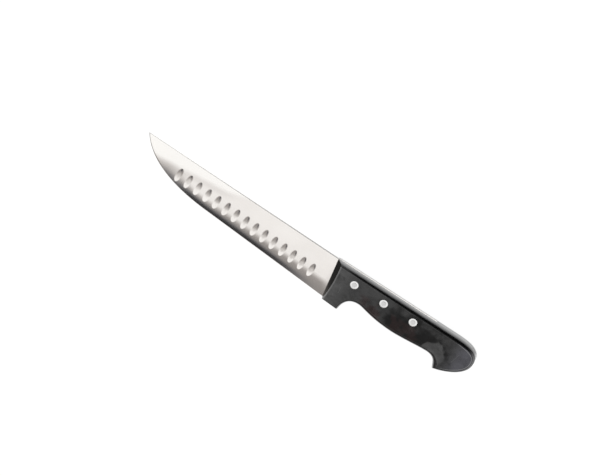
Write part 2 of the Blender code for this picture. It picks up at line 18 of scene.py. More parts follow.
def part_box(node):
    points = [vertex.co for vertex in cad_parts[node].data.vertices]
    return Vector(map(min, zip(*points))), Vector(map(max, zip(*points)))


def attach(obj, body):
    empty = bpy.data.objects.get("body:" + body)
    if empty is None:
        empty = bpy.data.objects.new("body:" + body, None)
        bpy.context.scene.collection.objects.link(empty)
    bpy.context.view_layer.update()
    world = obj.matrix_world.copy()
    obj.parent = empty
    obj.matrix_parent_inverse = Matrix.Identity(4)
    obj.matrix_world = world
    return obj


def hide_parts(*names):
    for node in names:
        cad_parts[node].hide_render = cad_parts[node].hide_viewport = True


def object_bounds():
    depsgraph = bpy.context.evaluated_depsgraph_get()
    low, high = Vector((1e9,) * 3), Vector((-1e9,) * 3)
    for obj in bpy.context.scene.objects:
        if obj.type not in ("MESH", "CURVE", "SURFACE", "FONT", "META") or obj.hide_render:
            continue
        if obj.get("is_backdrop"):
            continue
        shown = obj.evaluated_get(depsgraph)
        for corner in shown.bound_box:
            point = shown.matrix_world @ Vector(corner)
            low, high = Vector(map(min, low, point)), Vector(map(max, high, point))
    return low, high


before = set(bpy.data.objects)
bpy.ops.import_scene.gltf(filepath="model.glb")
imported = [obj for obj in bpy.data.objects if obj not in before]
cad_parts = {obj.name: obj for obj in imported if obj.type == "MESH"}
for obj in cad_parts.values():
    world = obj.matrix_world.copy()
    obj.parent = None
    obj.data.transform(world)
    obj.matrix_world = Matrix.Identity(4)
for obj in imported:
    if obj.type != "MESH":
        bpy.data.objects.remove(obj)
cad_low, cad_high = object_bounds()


def in_mm(metres):
    """Lengths in millimetres, rounded for printing."""
    return np.round(np.array(metres) * 1000, 3)


print("packed pieces:", ", ".join(sorted(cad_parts)))
print("box in mm:", in_mm(cad_high - cad_low))

# %% [markdown]
# ## The knife's own axes
#
# Every shape is easier to write in axes that belong to the knife: x along the spine from the front
# of the handle (0) to the butt, y up from the cutting edge to the spine (0), and z through the
# thickness from the tang's middle plane (0). The front rivet is their anchor, because its place is
# the same in every layer. Lengths are in metres.

# %% Where those axes lie in the packed model
RIVET_NAMES = ("front", "middle", "rear")
RIVET_FIRST = 0.0211  # first rivet behind the front of the handle
RIVET_FIRST_DEPTH = 0.0087  # and below the spine
HALF_HANDLE = (cad_high.z - cad_low.z) / 2


def extent(node):
    """Lowest and highest corner of a packed piece, as the rows of an array."""
    return np.array([corner[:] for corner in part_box(node)])


rivet_places = {name: extent(f"rivet_pin_{name}").mean(0) for name in RIVET_NAMES}
ORIGIN = rivet_places["front"] + np.array([-RIVET_FIRST, RIVET_FIRST_DEPTH, 0])
ORIGIN[2] = HALF_HANDLE
BLADE_LENGTH = float(ORIGIN[0] - extent("blade")[0, 0])
HANDLE_LENGTH = float(extent("scale_left")[1, 0] - ORIGIN[0])
TANG_END = float(extent("blade")[1, 0] - ORIGIN[0])
print("origin in mm:", in_mm(ORIGIN))
print("blade, handle and tang in mm:", in_mm([BLADE_LENGTH, HANDLE_LENGTH, TANG_END]))

# %% [markdown]
# ## The camera
#
# The picture was taken with a long lens from about two metres away, a little on the spine's side
# of straight above, and turned so that the knife runs from upper left to lower right. The numbers
# are those that put the spine, the tip, the rivets' ovals and the handle's top in their places.

# %% The camera
def slope(degrees):
    """Rise over run of a line that leans by an angle."""
    return math.tan(math.radians(degrees))


PHOTO_WIDTH = 600  # pixels
FOCAL_PIXELS = 2700
VIEW_DISTANCE = 2.13567
VIEW_TARGET = (-0.035011, -0.003784, 0.0)
LEAN_TO_SPINE = 19.39  # degrees from straight above
LEAN_TO_TIP = 3.161
VIEW_ROLL = 33.685


def make_camera():
    """A camera at a distance from its target, along a direction that leans two ways from +Z."""
    back = Vector((-slope(LEAN_TO_TIP), slope(LEAN_TO_SPINE), 1)).normalized()
    right = (Vector((1, 0, 0)) - back * back.x).normalized()
    axes = Matrix((right, back.cross(right), back)).transposed().to_4x4()
    axes = axes @ Matrix.Rotation(math.radians(VIEW_ROLL), 4, "Z")
    lens = bpy.data.cameras.new("camera")
    lens.sensor_width = 36
    lens.lens = lens.sensor_width * FOCAL_PIXELS / PHOTO_WIDTH
    lens.clip_end = 20
    camera = bpy.data.objects.new("camera", lens)
    target = Vector(VIEW_TARGET) + Vector(ORIGIN)
    camera.matrix_world = Matrix.Translation(target + back * VIEW_DISTANCE) @ axes
    bpy.context.scene.collection.objects.link(camera)
    bpy.context.scene.camera = camera
    return camera


camera = make_camera()
print("camera at mm:", in_mm(camera.matrix_world.translation))

# %% [markdown]
# ## Curves
#
# The outline of such a knife is drawn by eye with sweeping curves, so a cubic curve is the right
# tool: it leaves one place and reaches the next along a heading each, and a pull says how long it
# keeps to that heading. A few of them, end to end, make the edge and the whole handle.

# %% Headings and cubic curves
def heading(degrees):
    """A unit direction in the side view: the cosine and the sine of the angle."""
    return np.array([math.cos(math.radians(degrees)), math.sin(math.radians(degrees))])


def bezier(start, leaving, end, arriving, steps):
    """Points on a cubic curve, without the first.

    The two inner control points lie along the headings, at a distance of the pull times the span.
    The four points are blended by (1-t)^3, 3t(1-t)^2, 3t^2(1-t) and t^3.
    """
    start, end = np.array(start), np.array(end)
    span = np.linalg.norm(end - start)
    after = start + heading(leaving[0]) * span * leaving[1]
    before = end - heading(arriving[0]) * span * arriving[1]
    t = (np.arange(steps) + 1)[:, None] / steps
    return (1 - t)**3 * start + 3 * t * (1 - t)**2 * after + 3 * t**2 * (1 - t) * before + t**3 * end


FRONT_LEAN = 10.4  # the handle's front line against a square cut, in degrees
FRONT_CROSSING = 0.0026  # depth at which that line passes x = 0


def front_line(y):
    """The x of the handle's front at the middle plane: a straight line that leans back downwards."""
    return slope(FRONT_LEAN) * (-y - FRONT_CROSSING)


print("front line at the spine, in mm:", in_mm(front_line(0)))

# %% [markdown]
# ## Putting a grid into a mesh
#
# Each piece is a skin over a grid of points, whose rows are rings round the piece. Handing all the
# points over as one array is much faster than adding vertices one by one. The end rings get flat
# caps, and the sign of the enclosed volume tells whether the faces point outwards.

# %% A closed skin over rings of points
def enclosed(points, faces):
    """Volume inside four-sided faces: each makes two pyramids with the origin."""
    a, b, c, d = (points[faces[:, i]] for i in range(4))
    return float((a * (np.cross(b, c) + np.cross(c, d))).sum() / 6)


def ring_faces(rows, across):
    """Faces between neighbouring rings of equally many points."""
    row, place = np.meshgrid(np.arange(rows - 1), np.arange(across), indexing="ij")
    after = (place + 1) % across
    low, high = row * across, (row + 1) * across
    return np.stack([low + place, low + after, high + after, high + place], axis=-1).reshape(-1, 4)


def skin(name, rings, caps=(True, True)):
    """A mesh over an array of rings by points by 3, in the knife's axes, with faces outwards."""
    rows, across = rings.shape[:2]
    points = rings.reshape(-1, 3)
    faces = ring_faces(rows, across)
    inside = enclosed(points - points.mean(0), faces)
    ends = [np.arange(across)[::-1], np.arange(across) + (rows - 1) * across]
    faces = faces.tolist() + [end.tolist() for end, wanted in zip(ends, caps) if wanted]
    if inside < 0:
        faces = [face[::-1] for face in faces]
    mesh = bpy.data.meshes.new(name)
    mesh.from_pydata((points + ORIGIN).tolist(), [], faces)
    return mesh


def store(mesh, name, values):
    """Keeps a number with each of a mesh's points, for its finish to read."""
    mesh.attributes.new(name, "FLOAT", "POINT").data.foreach_set("value", np.ravel(values))


def smooth(mesh, angle):
    """Shades a mesh smooth, but for edges that turn by more than an angle in degrees."""
    mesh.shade_smooth()
    mesh.set_sharp_from_angle(angle=math.radians(angle))


def place(name, mesh, finish):
    """An object for a mesh that holds its own place, so the object stays at the origin."""
    mesh.materials.clear()
    mesh.materials.append(finish)
    piece = bpy.data.objects.new(name, mesh)
    bpy.context.scene.collection.objects.link(piece)
    return piece


def stand_in(piece, node):
    """The piece rides on the knife's body and hides the packed piece."""
    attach(piece, "root")
    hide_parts(node)
    size = np.ptp([corner[:] for corner in piece.bound_box], axis=0)
    print(f"{piece.name}: {len(piece.data.polygons)} faces, {in_mm(size)} mm")


print("faces between three rings of eight points:", len(ring_faces(3, 8)))

# %% [markdown]
# ## Writing a finish
#
# Materials are node trees, and their maths is easier to read as a formula. A Varying wraps one
# output socket, and its operators add the Math nodes. Every other node comes from one method,
# which takes the node's type, its settings and its inputs.

# %% Formulas over a surface
def math_node(operation, swapped=False):
    """A method that adds a Math node, with the values the other way round where it is swapped."""
    def method(self, *others):
        values = (*others, self) if swapped else (self, *others)
        made = self.finish.node("ShaderNodeMath", {"operation": operation}, dict(enumerate(values)))
        return Varying(self.finish, made.outputs[0])
    return method


class Varying:
    """A number that changes over a surface."""

    __add__ = __radd__ = math_node("ADD")
    __sub__ = math_node("SUBTRACT")
    __rsub__ = math_node("SUBTRACT", swapped=True)
    __mul__ = __rmul__ = math_node("MULTIPLY")
    __truediv__ = math_node("DIVIDE")
    __abs__ = math_node("ABSOLUTE")
    root = math_node("SQRT")
    sine = math_node("SINE")
    most = math_node("MAXIMUM")
    least = math_node("MINIMUM")

    def __init__(self, finish, socket):
        self.finish, self.socket = finish, socket

    def __neg__(self):
        return self * -1

    def squared(self):
        return self * self

    def step(self, start, stop):
        """0 before start, 1 after stop and a smooth rise between; falls if stop is the lower."""
        to = (0, 1) if stop > start else (1, 0)
        inputs = {"Value": self, "From Min": min(start, stop), "From Max": max(start, stop),
                  "To Min": to[0], "To Max": to[1]}
        made = self.finish.node("ShaderNodeMapRange", {"interpolation_type": "SMOOTHSTEP"}, inputs)
        return Varying(self.finish, made.outputs[0])


class Finish:
    """A node tree being written, for a material or for the world."""

    def __init__(self, owner):
        self.owner = owner
        owner.use_nodes = True
        self.tree = owner.node_tree

    def node(self, kind, settings, inputs):
        """Adds a node, sets it, a ramp's two stops too, and fills its sockets with values or links."""
        made = self.tree.nodes.new(kind)
        for name, value in settings.items():
            if name == "stops":
                for element, (position, colour) in zip(made.color_ramp.elements, value):
                    element.position, element.color = position, (*colour, 1)
            else:
                setattr(made, name, value)
        for key, value in inputs.items():
            self.feed(made.inputs[key], value)
        return made

    def feed(self, socket, value):
        if isinstance(value, Varying):
            value = value.socket
        if isinstance(value, bpy.types.NodeSocket):
            self.tree.links.new(value, socket)
        else:
            socket.default_value = (*value, 1) if socket.type == "RGBA" else value

    def surface(self, **inputs):
        """Fills the Principled shader's sockets, with underscores for the spaces in their names."""
        shader = self.tree.nodes["Principled BSDF"]
        for name, value in inputs.items():
            self.feed(shader.inputs[name.replace("_", " ")], value)

    def shine(self, strength, colour=(1.0, 1.0, 1.0)):
        """Gives off light and nothing else."""
        glow = self.node("ShaderNodeEmission", {}, {"Color": colour, "Strength": strength})
        self.node("ShaderNodeOutputMaterial", {}, {"Surface": glow.outputs[0]})

    def coordinates(self):
        """Object coordinates as a vector socket: places in the packed model, in metres."""
        return self.node("ShaderNodeTexCoord", {}, {}).outputs["Object"]

    def axes(self, origin=ORIGIN):
        """The x, y and z of each point from an origin, which is the knife's own unless given."""
        local = self.node("ShaderNodeVectorMath", {"operation": "SUBTRACT"},
                          {0: self.coordinates(), 1: tuple(origin)}).outputs[0]
        parts = self.node("ShaderNodeSeparateXYZ", {}, {0: local})
        return [Varying(self, output) for output in parts.outputs]

    def attribute(self, name):
        """A number stored with the mesh's points."""
        made = self.node("ShaderNodeAttribute", {"attribute_name": name}, {})
        return Varying(self, made.outputs["Fac"])

    def noise(self, stretch, detail=2.0, roughness=0.5, shift=(0, 0, 0)):
        """Soft noise from 0 to 1. Stretch says how many patches there are in a metre, each way."""
        spread = self.node("ShaderNodeMapping", {"vector_type": "POINT"},
                           {"Vector": self.coordinates(), "Location": shift, "Scale": stretch})
        inputs = {"Vector": spread.outputs[0], "Scale": 1.0, "Detail": detail, "Roughness": roughness}
        return Varying(self, self.node("ShaderNodeTexNoise", {}, inputs).outputs[0])

    def mix(self, share, first, second):
        """A colour between two, by a share from 0 to 1."""
        made = self.node("ShaderNodeMix", {"data_type": "RGBA"}, {"Factor": share, 6: first, 7: second})
        return made.outputs[2]

    def bump(self, height, distance):
        """A normal that leans as if the surface rose by the height times the distance."""
        return self.node("ShaderNodeBump", {}, {"Height": height, "Distance": distance}).outputs[0]


def new_finish(name, **constants):
    """A material with a Principled shader, whose fixed values are written on its own sockets."""
    finish = Finish(bpy.data.materials.new(name))
    finish.surface(**constants)
    return finish


def bare_finish(owner):
    """A finish with no shader yet, for a lit surface or for the world."""
    finish = Finish(owner)
    finish.tree.nodes.clear()
    return finish


print("formulas also know:", ", ".join(name for name in vars(Varying) if not name.startswith("_")))

# %% [markdown]
# ## The blade's shape
#
# The blade is ground from flat stock. It thins from heel to tip, its sides are flat down to a
# shoulder, and below that they curve over to the edge, where a narrow bevel is honed on. It could
# be a plate with a bevel modifier, but a height worked out at each place lets the grind change
# along the blade.

# %% Sizes of the blade
BLADE_HEIGHT = 0.034  # spine to edge at the heel
EDGE_SLOPE = 2.86  # straight part of the edge against the spine, in degrees
SWEEP_LENGTH = 0.070  # the curved part of the edge
SWEEP_HEADING = 123.8  # direction of the edge as it reaches the tip
SWEEP_PULLS = (0.327, 0.335)
SWEEP_STEPS = 400
TIP_HEIGHT = 0.0003
SPINE_THICKNESS = (0.0023, 0.0011)  # at the heel and at the tip
FLAT_SLOPE = 0.75  # of the flat against the middle plane, in degrees
SHOULDER = (0.59, 0.70)  # share of the depth that is ground flat, at the heel and at the tip
BELLY_SHOULDER = 0.38  # that share in the belly, where the edge sweeps up
BELLY_MIDDLE = -0.148
BELLY_REACH = (0.022, 0.026)  # how far that rounder grind spreads, to the tip and to the heel
POINT_KEPT = 0.86  # share of the flat's thickness that the grind leaves at the point
POINT_START, POINT_BLEND = 0.145, 0.024
PARABOLA_EDGE = 0.0002  # thickness that the curve below the shoulder would end with
EDGE_THICKNESS = 0.00005  # thickness that the honed bevel ends with
BEVEL_SLOPE = 15  # of the honed bevel against the middle plane, in degrees
POINT_LENGTH = 0.030  # where the steel thins towards the point
POINT_SHARE = 0.35  # thickness that is left there


def edge_curve():
    """The edge from tip to heel: a cubic sweep and then a straight line to the heel."""
    heel = front_line(-BLADE_HEIGHT)
    sweep_x = SWEEP_LENGTH - BLADE_LENGTH
    start = (sweep_x, slope(EDGE_SLOPE) * (heel - sweep_x) - BLADE_HEIGHT)
    leaving, arriving = zip((180 - EDGE_SLOPE, SWEEP_HEADING), SWEEP_PULLS)
    sweep = bezier(start, leaving, (-BLADE_LENGTH, -TIP_HEIGHT), arriving, SWEEP_STEPS)
    return np.vstack([sweep[::-1], start, (heel, -BLADE_HEIGHT)])


EDGE = edge_curve()


def depth_at(x):
    """Depth of the edge below the spine."""
    return -np.interp(x, EDGE[:, 0], EDGE[:, 1])


def blend(start, end, share):
    """A straight change from start to end: start + (end - start) * share."""
    return start + (end - start) * share


def ease(share):
    """A smooth rise from 0 to 1: 3s^2 - 2s^3, and level outside."""
    share = np.clip(share, 0, 1)
    return share**2 * (3 - 2 * share)


def half_thickness(x, down):
    """Half the steel's thickness at x and at a distance down from the spine.

    The least of two surfaces: a flat that ends in a parabola, and the honed bevel's straight wall.
    The flat thins evenly to the shoulder, and the parabola leaves it smoothly. Towards the point
    the parabola takes off less and less, and the whole thickness is scaled down smoothly.
    """
    depth = depth_at(x)
    along = np.clip(-x / BLADE_LENGTH, 0, 1)
    spine = blend(*SPINE_THICKNESS, along) / 2
    belly = ease(1 - np.abs(x - BELLY_MIDDLE) / np.where(x < BELLY_MIDDLE, *BELLY_REACH))
    shoulder = blend(blend(*SHOULDER, along), BELLY_SHOULDER, belly)
    past = np.clip((down / depth - shoulder) / (1 - shoulder), 0, 1)
    kept = POINT_KEPT * ease((-x - POINT_START) / POINT_BLEND)
    lost = (spine - depth * slope(FLAT_SLOPE) - PARABOLA_EDGE / 2) * (1 - kept)
    ground = spine - down * slope(FLAT_SLOPE) - lost * past**2
    near = ease((x + BLADE_LENGTH) / POINT_LENGTH)
    honed = EDGE_THICKNESS / 2 + (depth - down) * slope(BEVEL_SLOPE)
    return np.minimum(ground * blend(POINT_SHARE, 1, near), honed)


print("half thickness 1 cm below the spine, at three places, in mm:",
      in_mm(half_thickness(np.array([-0.15, -0.09, -0.03]), 0.01)))

# %% [markdown]
# The flutes are shallow oval hollows that a wheel grinds in a row along both sides, so that
# slices let go of the blade. They are real hollows here. Each place finds its nearest flute, and
# the cut is a trough with a flattened floor, a little deeper towards the edge. Its rim is eased by
# a square root, as polishing would ease it. The right side's row lies half a pitch further on.

# %% The two rows of flutes
FLUTE_COUNT = 15
FLUTE_PITCH = 0.0092
FLUTE_LENGTH = 0.0118  # across the blade
FLUTE_WIDTH = 0.0045  # along the blade
FLUTE_DEPTH = 0.000218
FLUTE_SKEW = ((0, 0.28), (4, 0.48), (11.5, 0.50), (14, 0.03))  # (flute, how much deeper low down)
FLUTE_SHARE = ((10, 1.0), (12, 0.86), (14, 0.74))  # (flute, its depth as a share of the others')
FLUTE_FLATNESS = 0.46  # 0 makes the floor a bowl, 1 nearly a plane
FLUTE_EASE = 0.05  # softness of the rim, as a share of the depth
FLUTE_LAST = -0.0134  # middle of the flute nearest the handle
FLUTE_LAST_DEPTH = 0.0206  # its middle below the spine
FLUTE_FIRST_DEPTH = 0.0159  # and that of the flute nearest the tip
FLUTE_STAGGER = 0.5  # how far the right side's row lies ahead, in pitches


def flutes(x, down, first):
    """Depth of the cut, as a share: q + flatness * q * (1 - q), times one plus a skew down the blade.

    Here q = 1 - r^2, eased past the rim, and r is the elliptical radius in the nearest flute. A
    share makes the flutes in the belly shallower, as the steel is thinner there.
    """
    number = np.clip(np.round((FLUTE_LAST - x) / FLUTE_PITCH - first), 0, FLUTE_COUNT - 1) + first
    fall = (FLUTE_FIRST_DEPTH - FLUTE_LAST_DEPTH) / (FLUTE_COUNT - 1)
    across = (x - FLUTE_LAST + FLUTE_PITCH * number) / (FLUTE_WIDTH / 2)
    along = (down - FLUTE_LAST_DEPTH - fall * number) / (FLUTE_LENGTH / 2)
    inside = 1 - across**2 - along**2
    inside = (inside + np.sqrt(inside**2 + FLUTE_EASE**2)) / 2
    skew, share = (np.interp(number, *zip(*table)) for table in (FLUTE_SKEW, FLUTE_SHARE))
    floor = inside * (1 + FLUTE_FLATNESS * (1 - inside)) * share
    return floor * (1 + skew * np.clip(along, -1, 1))


print("cut in the middle of the last flute, in mm:",
      in_mm(FLUTE_DEPTH * flutes(FLUTE_LAST, FLUTE_LAST_DEPTH, 0)))

# %% [markdown]
# The skin's rings run round the blade's section, from the middle of the spine down one side to the
# edge and up the other. They stand square at the tip and swing round to the handle's sloping
# front at the heel. More of them stand where the flutes are.

# %% Rings round the blade
TIP_COLUMNS, FLUTE_COLUMNS, HEEL_COLUMNS = 56, 345, 26
TIP_CROWDING = 1.5  # how much closer the columns stand at the tip
SIDE_ROWS = ((0, 0.37, 12), (0.37, 0.93, 66), (0.93, 0.99, 4))  # (from, to, count), down a side
EDGE_ROWS = (0.98, 1, 7)
SPINE_ROUND = 0.00014  # radius of the spine's two corners
ROUND_STEPS = 5


def side_rows():
    """Shares of the way down a side, closer together where the flutes and the bevel are."""
    spans = [np.linspace(*span, endpoint=False) for span in SIDE_ROWS]
    return np.concatenate([*spans, np.linspace(*EDGE_ROWS)])


def side_of(top, bottom, half, first, side):
    """Points of one side of all rings, from the spine's middle to the edge, and their flute measure.

    A ring's point lies on the line from its top to its bottom, with the thickness there as height.
    """
    turn = np.linspace(0, math.pi / 2, ROUND_STEPS + 1)
    drop = np.concatenate([[0], SPINE_ROUND * (1 - np.cos(turn))])
    down = (top[:, 1] - bottom[:, 1])[:, None]
    rest = SPINE_ROUND + (down - SPINE_ROUND) * side_rows()[1:]
    share = (np.hstack([np.broadcast_to(drop, (len(down), len(drop))), rest]) / down)[..., None]
    flat = top[:, None] * (1 - share) + bottom[:, None] * share
    cut = flutes(flat[..., 0], -flat[..., 1], first) * (flat[..., 0] < 0)
    height = half(flat[..., 0], top[:, None, 1] - flat[..., 1]) - FLUTE_DEPTH * cut
    height[:, 1:len(drop)] -= SPINE_ROUND * (1 - np.sin(turn))
    height[:, 0] = 0
    return np.concatenate([flat, side * height[..., None]], axis=-1), np.clip(cut, 0, 1)


def blade_lines():
    """Top and bottom of each ring of the ground blade."""
    first_x = FLUTE_LAST - FLUTE_PITCH * (FLUTE_COUNT - 0.5)
    last_x = FLUTE_LAST + FLUTE_PITCH / 2
    crowded = np.linspace(0, 1, TIP_COLUMNS, endpoint=False)**TIP_CROWDING
    fluted = np.linspace(first_x, last_x, FLUTE_COLUMNS, endpoint=False)
    behind = np.linspace(last_x, front_line(-BLADE_HEIGHT), HEEL_COLUMNS)
    x = np.concatenate([blend(-BLADE_LENGTH, first_x, crowded), fluted, behind])
    swing = np.clip(1 + x / SWEEP_LENGTH, 0, 1)**2
    top = np.stack([x - slope(FRONT_LEAN) * BLADE_HEIGHT * swing, 0 * x], axis=1)
    return top, np.stack([x, -depth_at(x)], axis=1)


top, bottom = blade_lines()
print("rings of the blade:", len(top), "points round each:", 2 * (len(side_rows()) + ROUND_STEPS + 1) - 1)

# %% [markdown]
# Behind the heel the steel goes on as the tang: plain stock, full height inside the guard and
# narrower in the grip, with rounded corners. Its top is flush with the handle's, where it shows as
# a bright strip. Its rings continue those of the blade, so the steel stays one skin.

# %% Rings round the tang
HALF_STOCK = 0.0025 / 2
GUARD_DEPTH = BLADE_HEIGHT - 0.0008  # the heel reaches that much below the guard
GUARD_WALL = 0.0020  # handle below the steel inside the guard
TANG_FRONT_HEIGHT = 0.0165  # below the spine line, behind the guard
TANG_END_HEIGHT = 0.0145
TANG_SHOULDER = 0.0130  # length of the full-height steel inside the guard
TANG_CORNER = 0.0030
CLIMB_SHARE = 0.03  # how far a ring's top moves on while its bottom climbs by one
BUTT_CURVE = 0.024  # length of the curve from the top line to the butt
TOP_AT_FRONT = 0.0003  # top line above the blade's spine, at the front
TOP_AT_BUTT = 0.00199  # and where the butt curve starts
STEEL_STEP = 0.0003  # from the front line to the plain stock


def top_line(x):
    """Height of the handle's top, and of the tang's: a straight line that rises to the butt."""
    return TOP_AT_FRONT + (TOP_AT_BUTT - TOP_AT_FRONT) * x / (HANDLE_LENGTH - BUTT_CURVE)


def fillet(before, corner, after, steps=6):
    """A round corner as a curve of the second degree between two places a radius away from it."""
    start, end = (corner + (place - corner) * TANG_CORNER / np.linalg.norm(place - corner)
                  for place in (before, after))
    t = np.linspace(0, 1, steps + 1)[:, None]
    return (1 - t)**2 * start + 2 * t * (1 - t) * corner + t**2 * end


def tang_lines():
    """Top and bottom of each ring of the tang, from the front line to its end."""
    low = GUARD_WALL - GUARD_DEPTH
    toe = front_line(low) + TANG_SHOULDER
    places = np.array([(front_line(low) + STEEL_STEP, low), (toe, low), (toe, -TANG_FRONT_HEIGHT),
                       (TANG_END, -TANG_END_HEIGHT), (TANG_END, 0)])
    under = np.vstack([places[0], *(fillet(*places[i:i + 3]) for i in range(3))])
    move = np.abs(np.diff(under, axis=0))
    along = np.concatenate([[0], np.cumsum(move[:, 0] + CLIMB_SHARE * move[:, 1])])
    start = front_line(0) + STEEL_STEP
    x = start + (TANG_END - start) * along / along[-1]
    return np.stack([x, top_line(x)], axis=1), under


def steel_rings():
    """All rings of the steel and their flute measure: blade first, then tang."""
    def plain(x, down):
        return np.full_like(x, HALF_STOCK)

    lengths = []
    for lines, half in (((top, bottom), half_thickness), (tang_lines(), plain)):
        left, right = side_of(*lines, half, 0, 1), side_of(*lines, half, -FLUTE_STAGGER, -1)
        lengths.append([np.concatenate([a, b[:, :0:-1]], axis=1) for a, b in zip(left, right)])
    return [np.concatenate(values) for values in zip(*lengths)]


rings, fluted = steel_rings()
print("steel: skin of", rings.shape[0], "by", rings.shape[1], "points")

# %% [markdown]
# ## The steel's finish
#
# Knife steel is a grey metal with a warm cast. A belt leaves fine lines straight across the
# blade, the flutes come smoother from their wheel, and the strip along the handle is sanded
# lengthways. Lines this fine are beyond a mesh, so they are a bump and a change of roughness, from
# noise that is stretched along them. Near the point the colour is brighter, a painted highlight,
# with a darker streak of painted shade along its end. The back is rougher, and its colour is a
# darker grey of painted shade, darkest towards the handle. These are changes of the metal's colour.

# %% Ground steel
STEEL = (0.815, 0.785, 0.755)
STEEL_DULL = (0.785, 0.753, 0.722)
STEEL_SPINE_SHADE = (0.40, 0.395, 0.385)  # the back, which is not polished and is rougher; its darker grey is painted shade
STEEL_PAINTED_HIGHLIGHT = (0.885, 0.865, 0.835)  # painted highlight: a brighter colour near the point
STEEL_PAINTED_SHADE = (0.715, 0.683, 0.655)  # painted shade: a darker streak along the painted highlight's end
HIGHLIGHT_PLACE, HIGHLIGHT_SLOPE = (-0.110, -0.0055), 0.13  # a place on the painted highlight's lower end, and its slope
HIGHLIGHT_CURVE = 6.0  # how it bends up to the spine from there, in 1/m
SHADE_STREAK_FROM = (-0.086, -0.112)  # where the streak of painted shade fades in, along x
SHADE_STREAK_BAND = (-0.0075, -0.0025)  # heights over that end between which it rises
# heights over the border across which the painted highlight rises
HIGHLIGHT_BAND = (-0.0026, 0.0026)
BACK_EDGE = (-0.0003, -0.0001)  # where the back begins, along y
BACK_SHADE_FADE = (-0.200, -0.020)  # and how its painted shade darkens towards the handle
HANDLE_FADE = (-0.002, 0.004)  # where the blade's finish gives way to the tang's
FLUTE_FADE = (0.1, 0.4)  # shares of a flute's depth between which its own finish begins
BELT_LINES = (5200, 90, 400)  # lines and patches in a metre, along each axis
SANDING_LINES = (120, 4000, 4000)
CLOUDS = (45, 60, 60)
LINE_HEIGHT = 0.0000008
STEEL_SHARP = 24  # edges that turn by more degrees stay sharp


def ground_steel():
    """Metal with cross-ground lines, smoother flutes, a painted highlight at the point with a streak of
    painted shade, and a back painted darker as shade.
    """
    finish = new_finish("ground_steel", Metallic=1.0)
    x, y, _ = finish.axes()
    flute = finish.attribute("flute").step(*FLUTE_FADE)
    handle = x.step(*HANDLE_FADE)
    across = finish.noise(BELT_LINES, detail=3)
    lengthways = finish.noise(SANDING_LINES, detail=3, shift=(3, 1, 2))
    lines = across * (1 - handle) + lengthways * handle
    cloud = finish.noise(CLOUDS, detail=4, shift=(7, 3, 1))
    back = y.step(*BACK_EDGE)
    past = x - HIGHLIGHT_PLACE[0]
    border = HIGHLIGHT_PLACE[1] + HIGHLIGHT_SLOPE * past + HIGHLIGHT_CURVE * past.most(0.0).squared()
    above = y - border + 0.003 * (cloud - 0.5)
    greys = {"stops": ((0.35, STEEL), (0.7, STEEL_DULL))}
    colour = finish.node("ShaderNodeValToRGB", greys, {0: cloud}).outputs[0]
    # Painted shade: a darker streak along the lower end of the painted highlight
    colour = finish.mix(x.step(*SHADE_STREAK_FROM) * above.step(*SHADE_STREAK_BAND), colour, STEEL_PAINTED_SHADE)
    # Painted highlight: the colour is brighter near the point, above its border
    colour = finish.mix(above.step(*HIGHLIGHT_BAND), colour, STEEL_PAINTED_HIGHLIGHT)
    # Painted shade: the back is a darker grey, darkest next to the handle
    colour = finish.mix(back * x.step(*BACK_SHADE_FADE) * (1 - 0.6 * handle), colour, STEEL_SPINE_SHADE)
    rough = 0.078 + 0.03 * lines + 0.01 * cloud - 0.015 * flute + 0.18 * back + 0.06 * handle
    height = lines * (1 - 0.6 * flute) * (1 - 0.7 * handle)
    finish.surface(Base_Color=colour, Roughness=rough, Normal=finish.bump(height, LINE_HEIGHT))
    return finish.owner


def make_blade():
    """The steel's mesh, with its flute measure stored at the points."""
    mesh = skin("ground_blade", rings)
    store(mesh, "flute", fluted)
    smooth(mesh, STEEL_SHARP)
    return place("ground_blade", mesh, ground_steel())


stand_in(make_blade(), "blade")

# %% [markdown]
# ## The handle's outline
#
# Seen from the side, the handle is two lines that meet at the beak behind the little finger: the
# upper one runs along the top and round the butt, and the lower one up the beak, along the belly
# and down the back of the guard. Each is a chain of cubic curves through a few places.

# %% Places and roundings of the outline
GUARD_LENGTH = 0.0217
GUARD_FLARE = 0.0008  # how much deeper the guard is at its back
REAR = (HANDLE_LENGTH, -0.011)  # the rearmost point
BEAK = (HANDLE_LENGTH - 0.0263, -0.0323)
GRIP_REAR = (HANDLE_LENGTH - 0.038, -0.0229)  # the hollow before the beak
GRIP_FRONT = (GUARD_LENGTH + 0.0113, -0.0219)  # the hollow behind the guard
BELLY = ((GRIP_REAR[0] + GRIP_FRONT[0]) / 2, -0.0257)
TOP_ROUND_FRONT = 0.0012  # rounding of the top edge at the front, which widens to the butt
TOP_ROUND_BUTT = 0.0027
BEAK_ROUND = 0.0021  # at the beak's tip
BEAK_FRONT_ROUND = 0.0044  # and in the hollow before it
GRIP_ROUND = 0.0025
GUARD_ROUND = 0.0016
GUARD_FOOT_ROUND = 0.0006
LINE_STEPS = 72  # points of each of the curves
RUN_ON = 0.004  # how far the lines run on past their ends, to be trimmed there
EXTRA = np.linspace(0, RUN_ON, 9)[:, None]


def guard_foot(x):
    """Height of the guard's lower end, which is deeper at its back."""
    return -GUARD_DEPTH - GUARD_FLARE * x / GUARD_LENGTH


def chain(start, *legs):
    """Cubic curves end to end, without the start. A leg is (heading, pull), end, (heading, pull)."""
    curves = []
    for leaving, end, arriving in legs:
        curves.append(bezier(start, leaving, end, arriving, LINE_STEPS))
        start = end
    return np.vstack(curves)


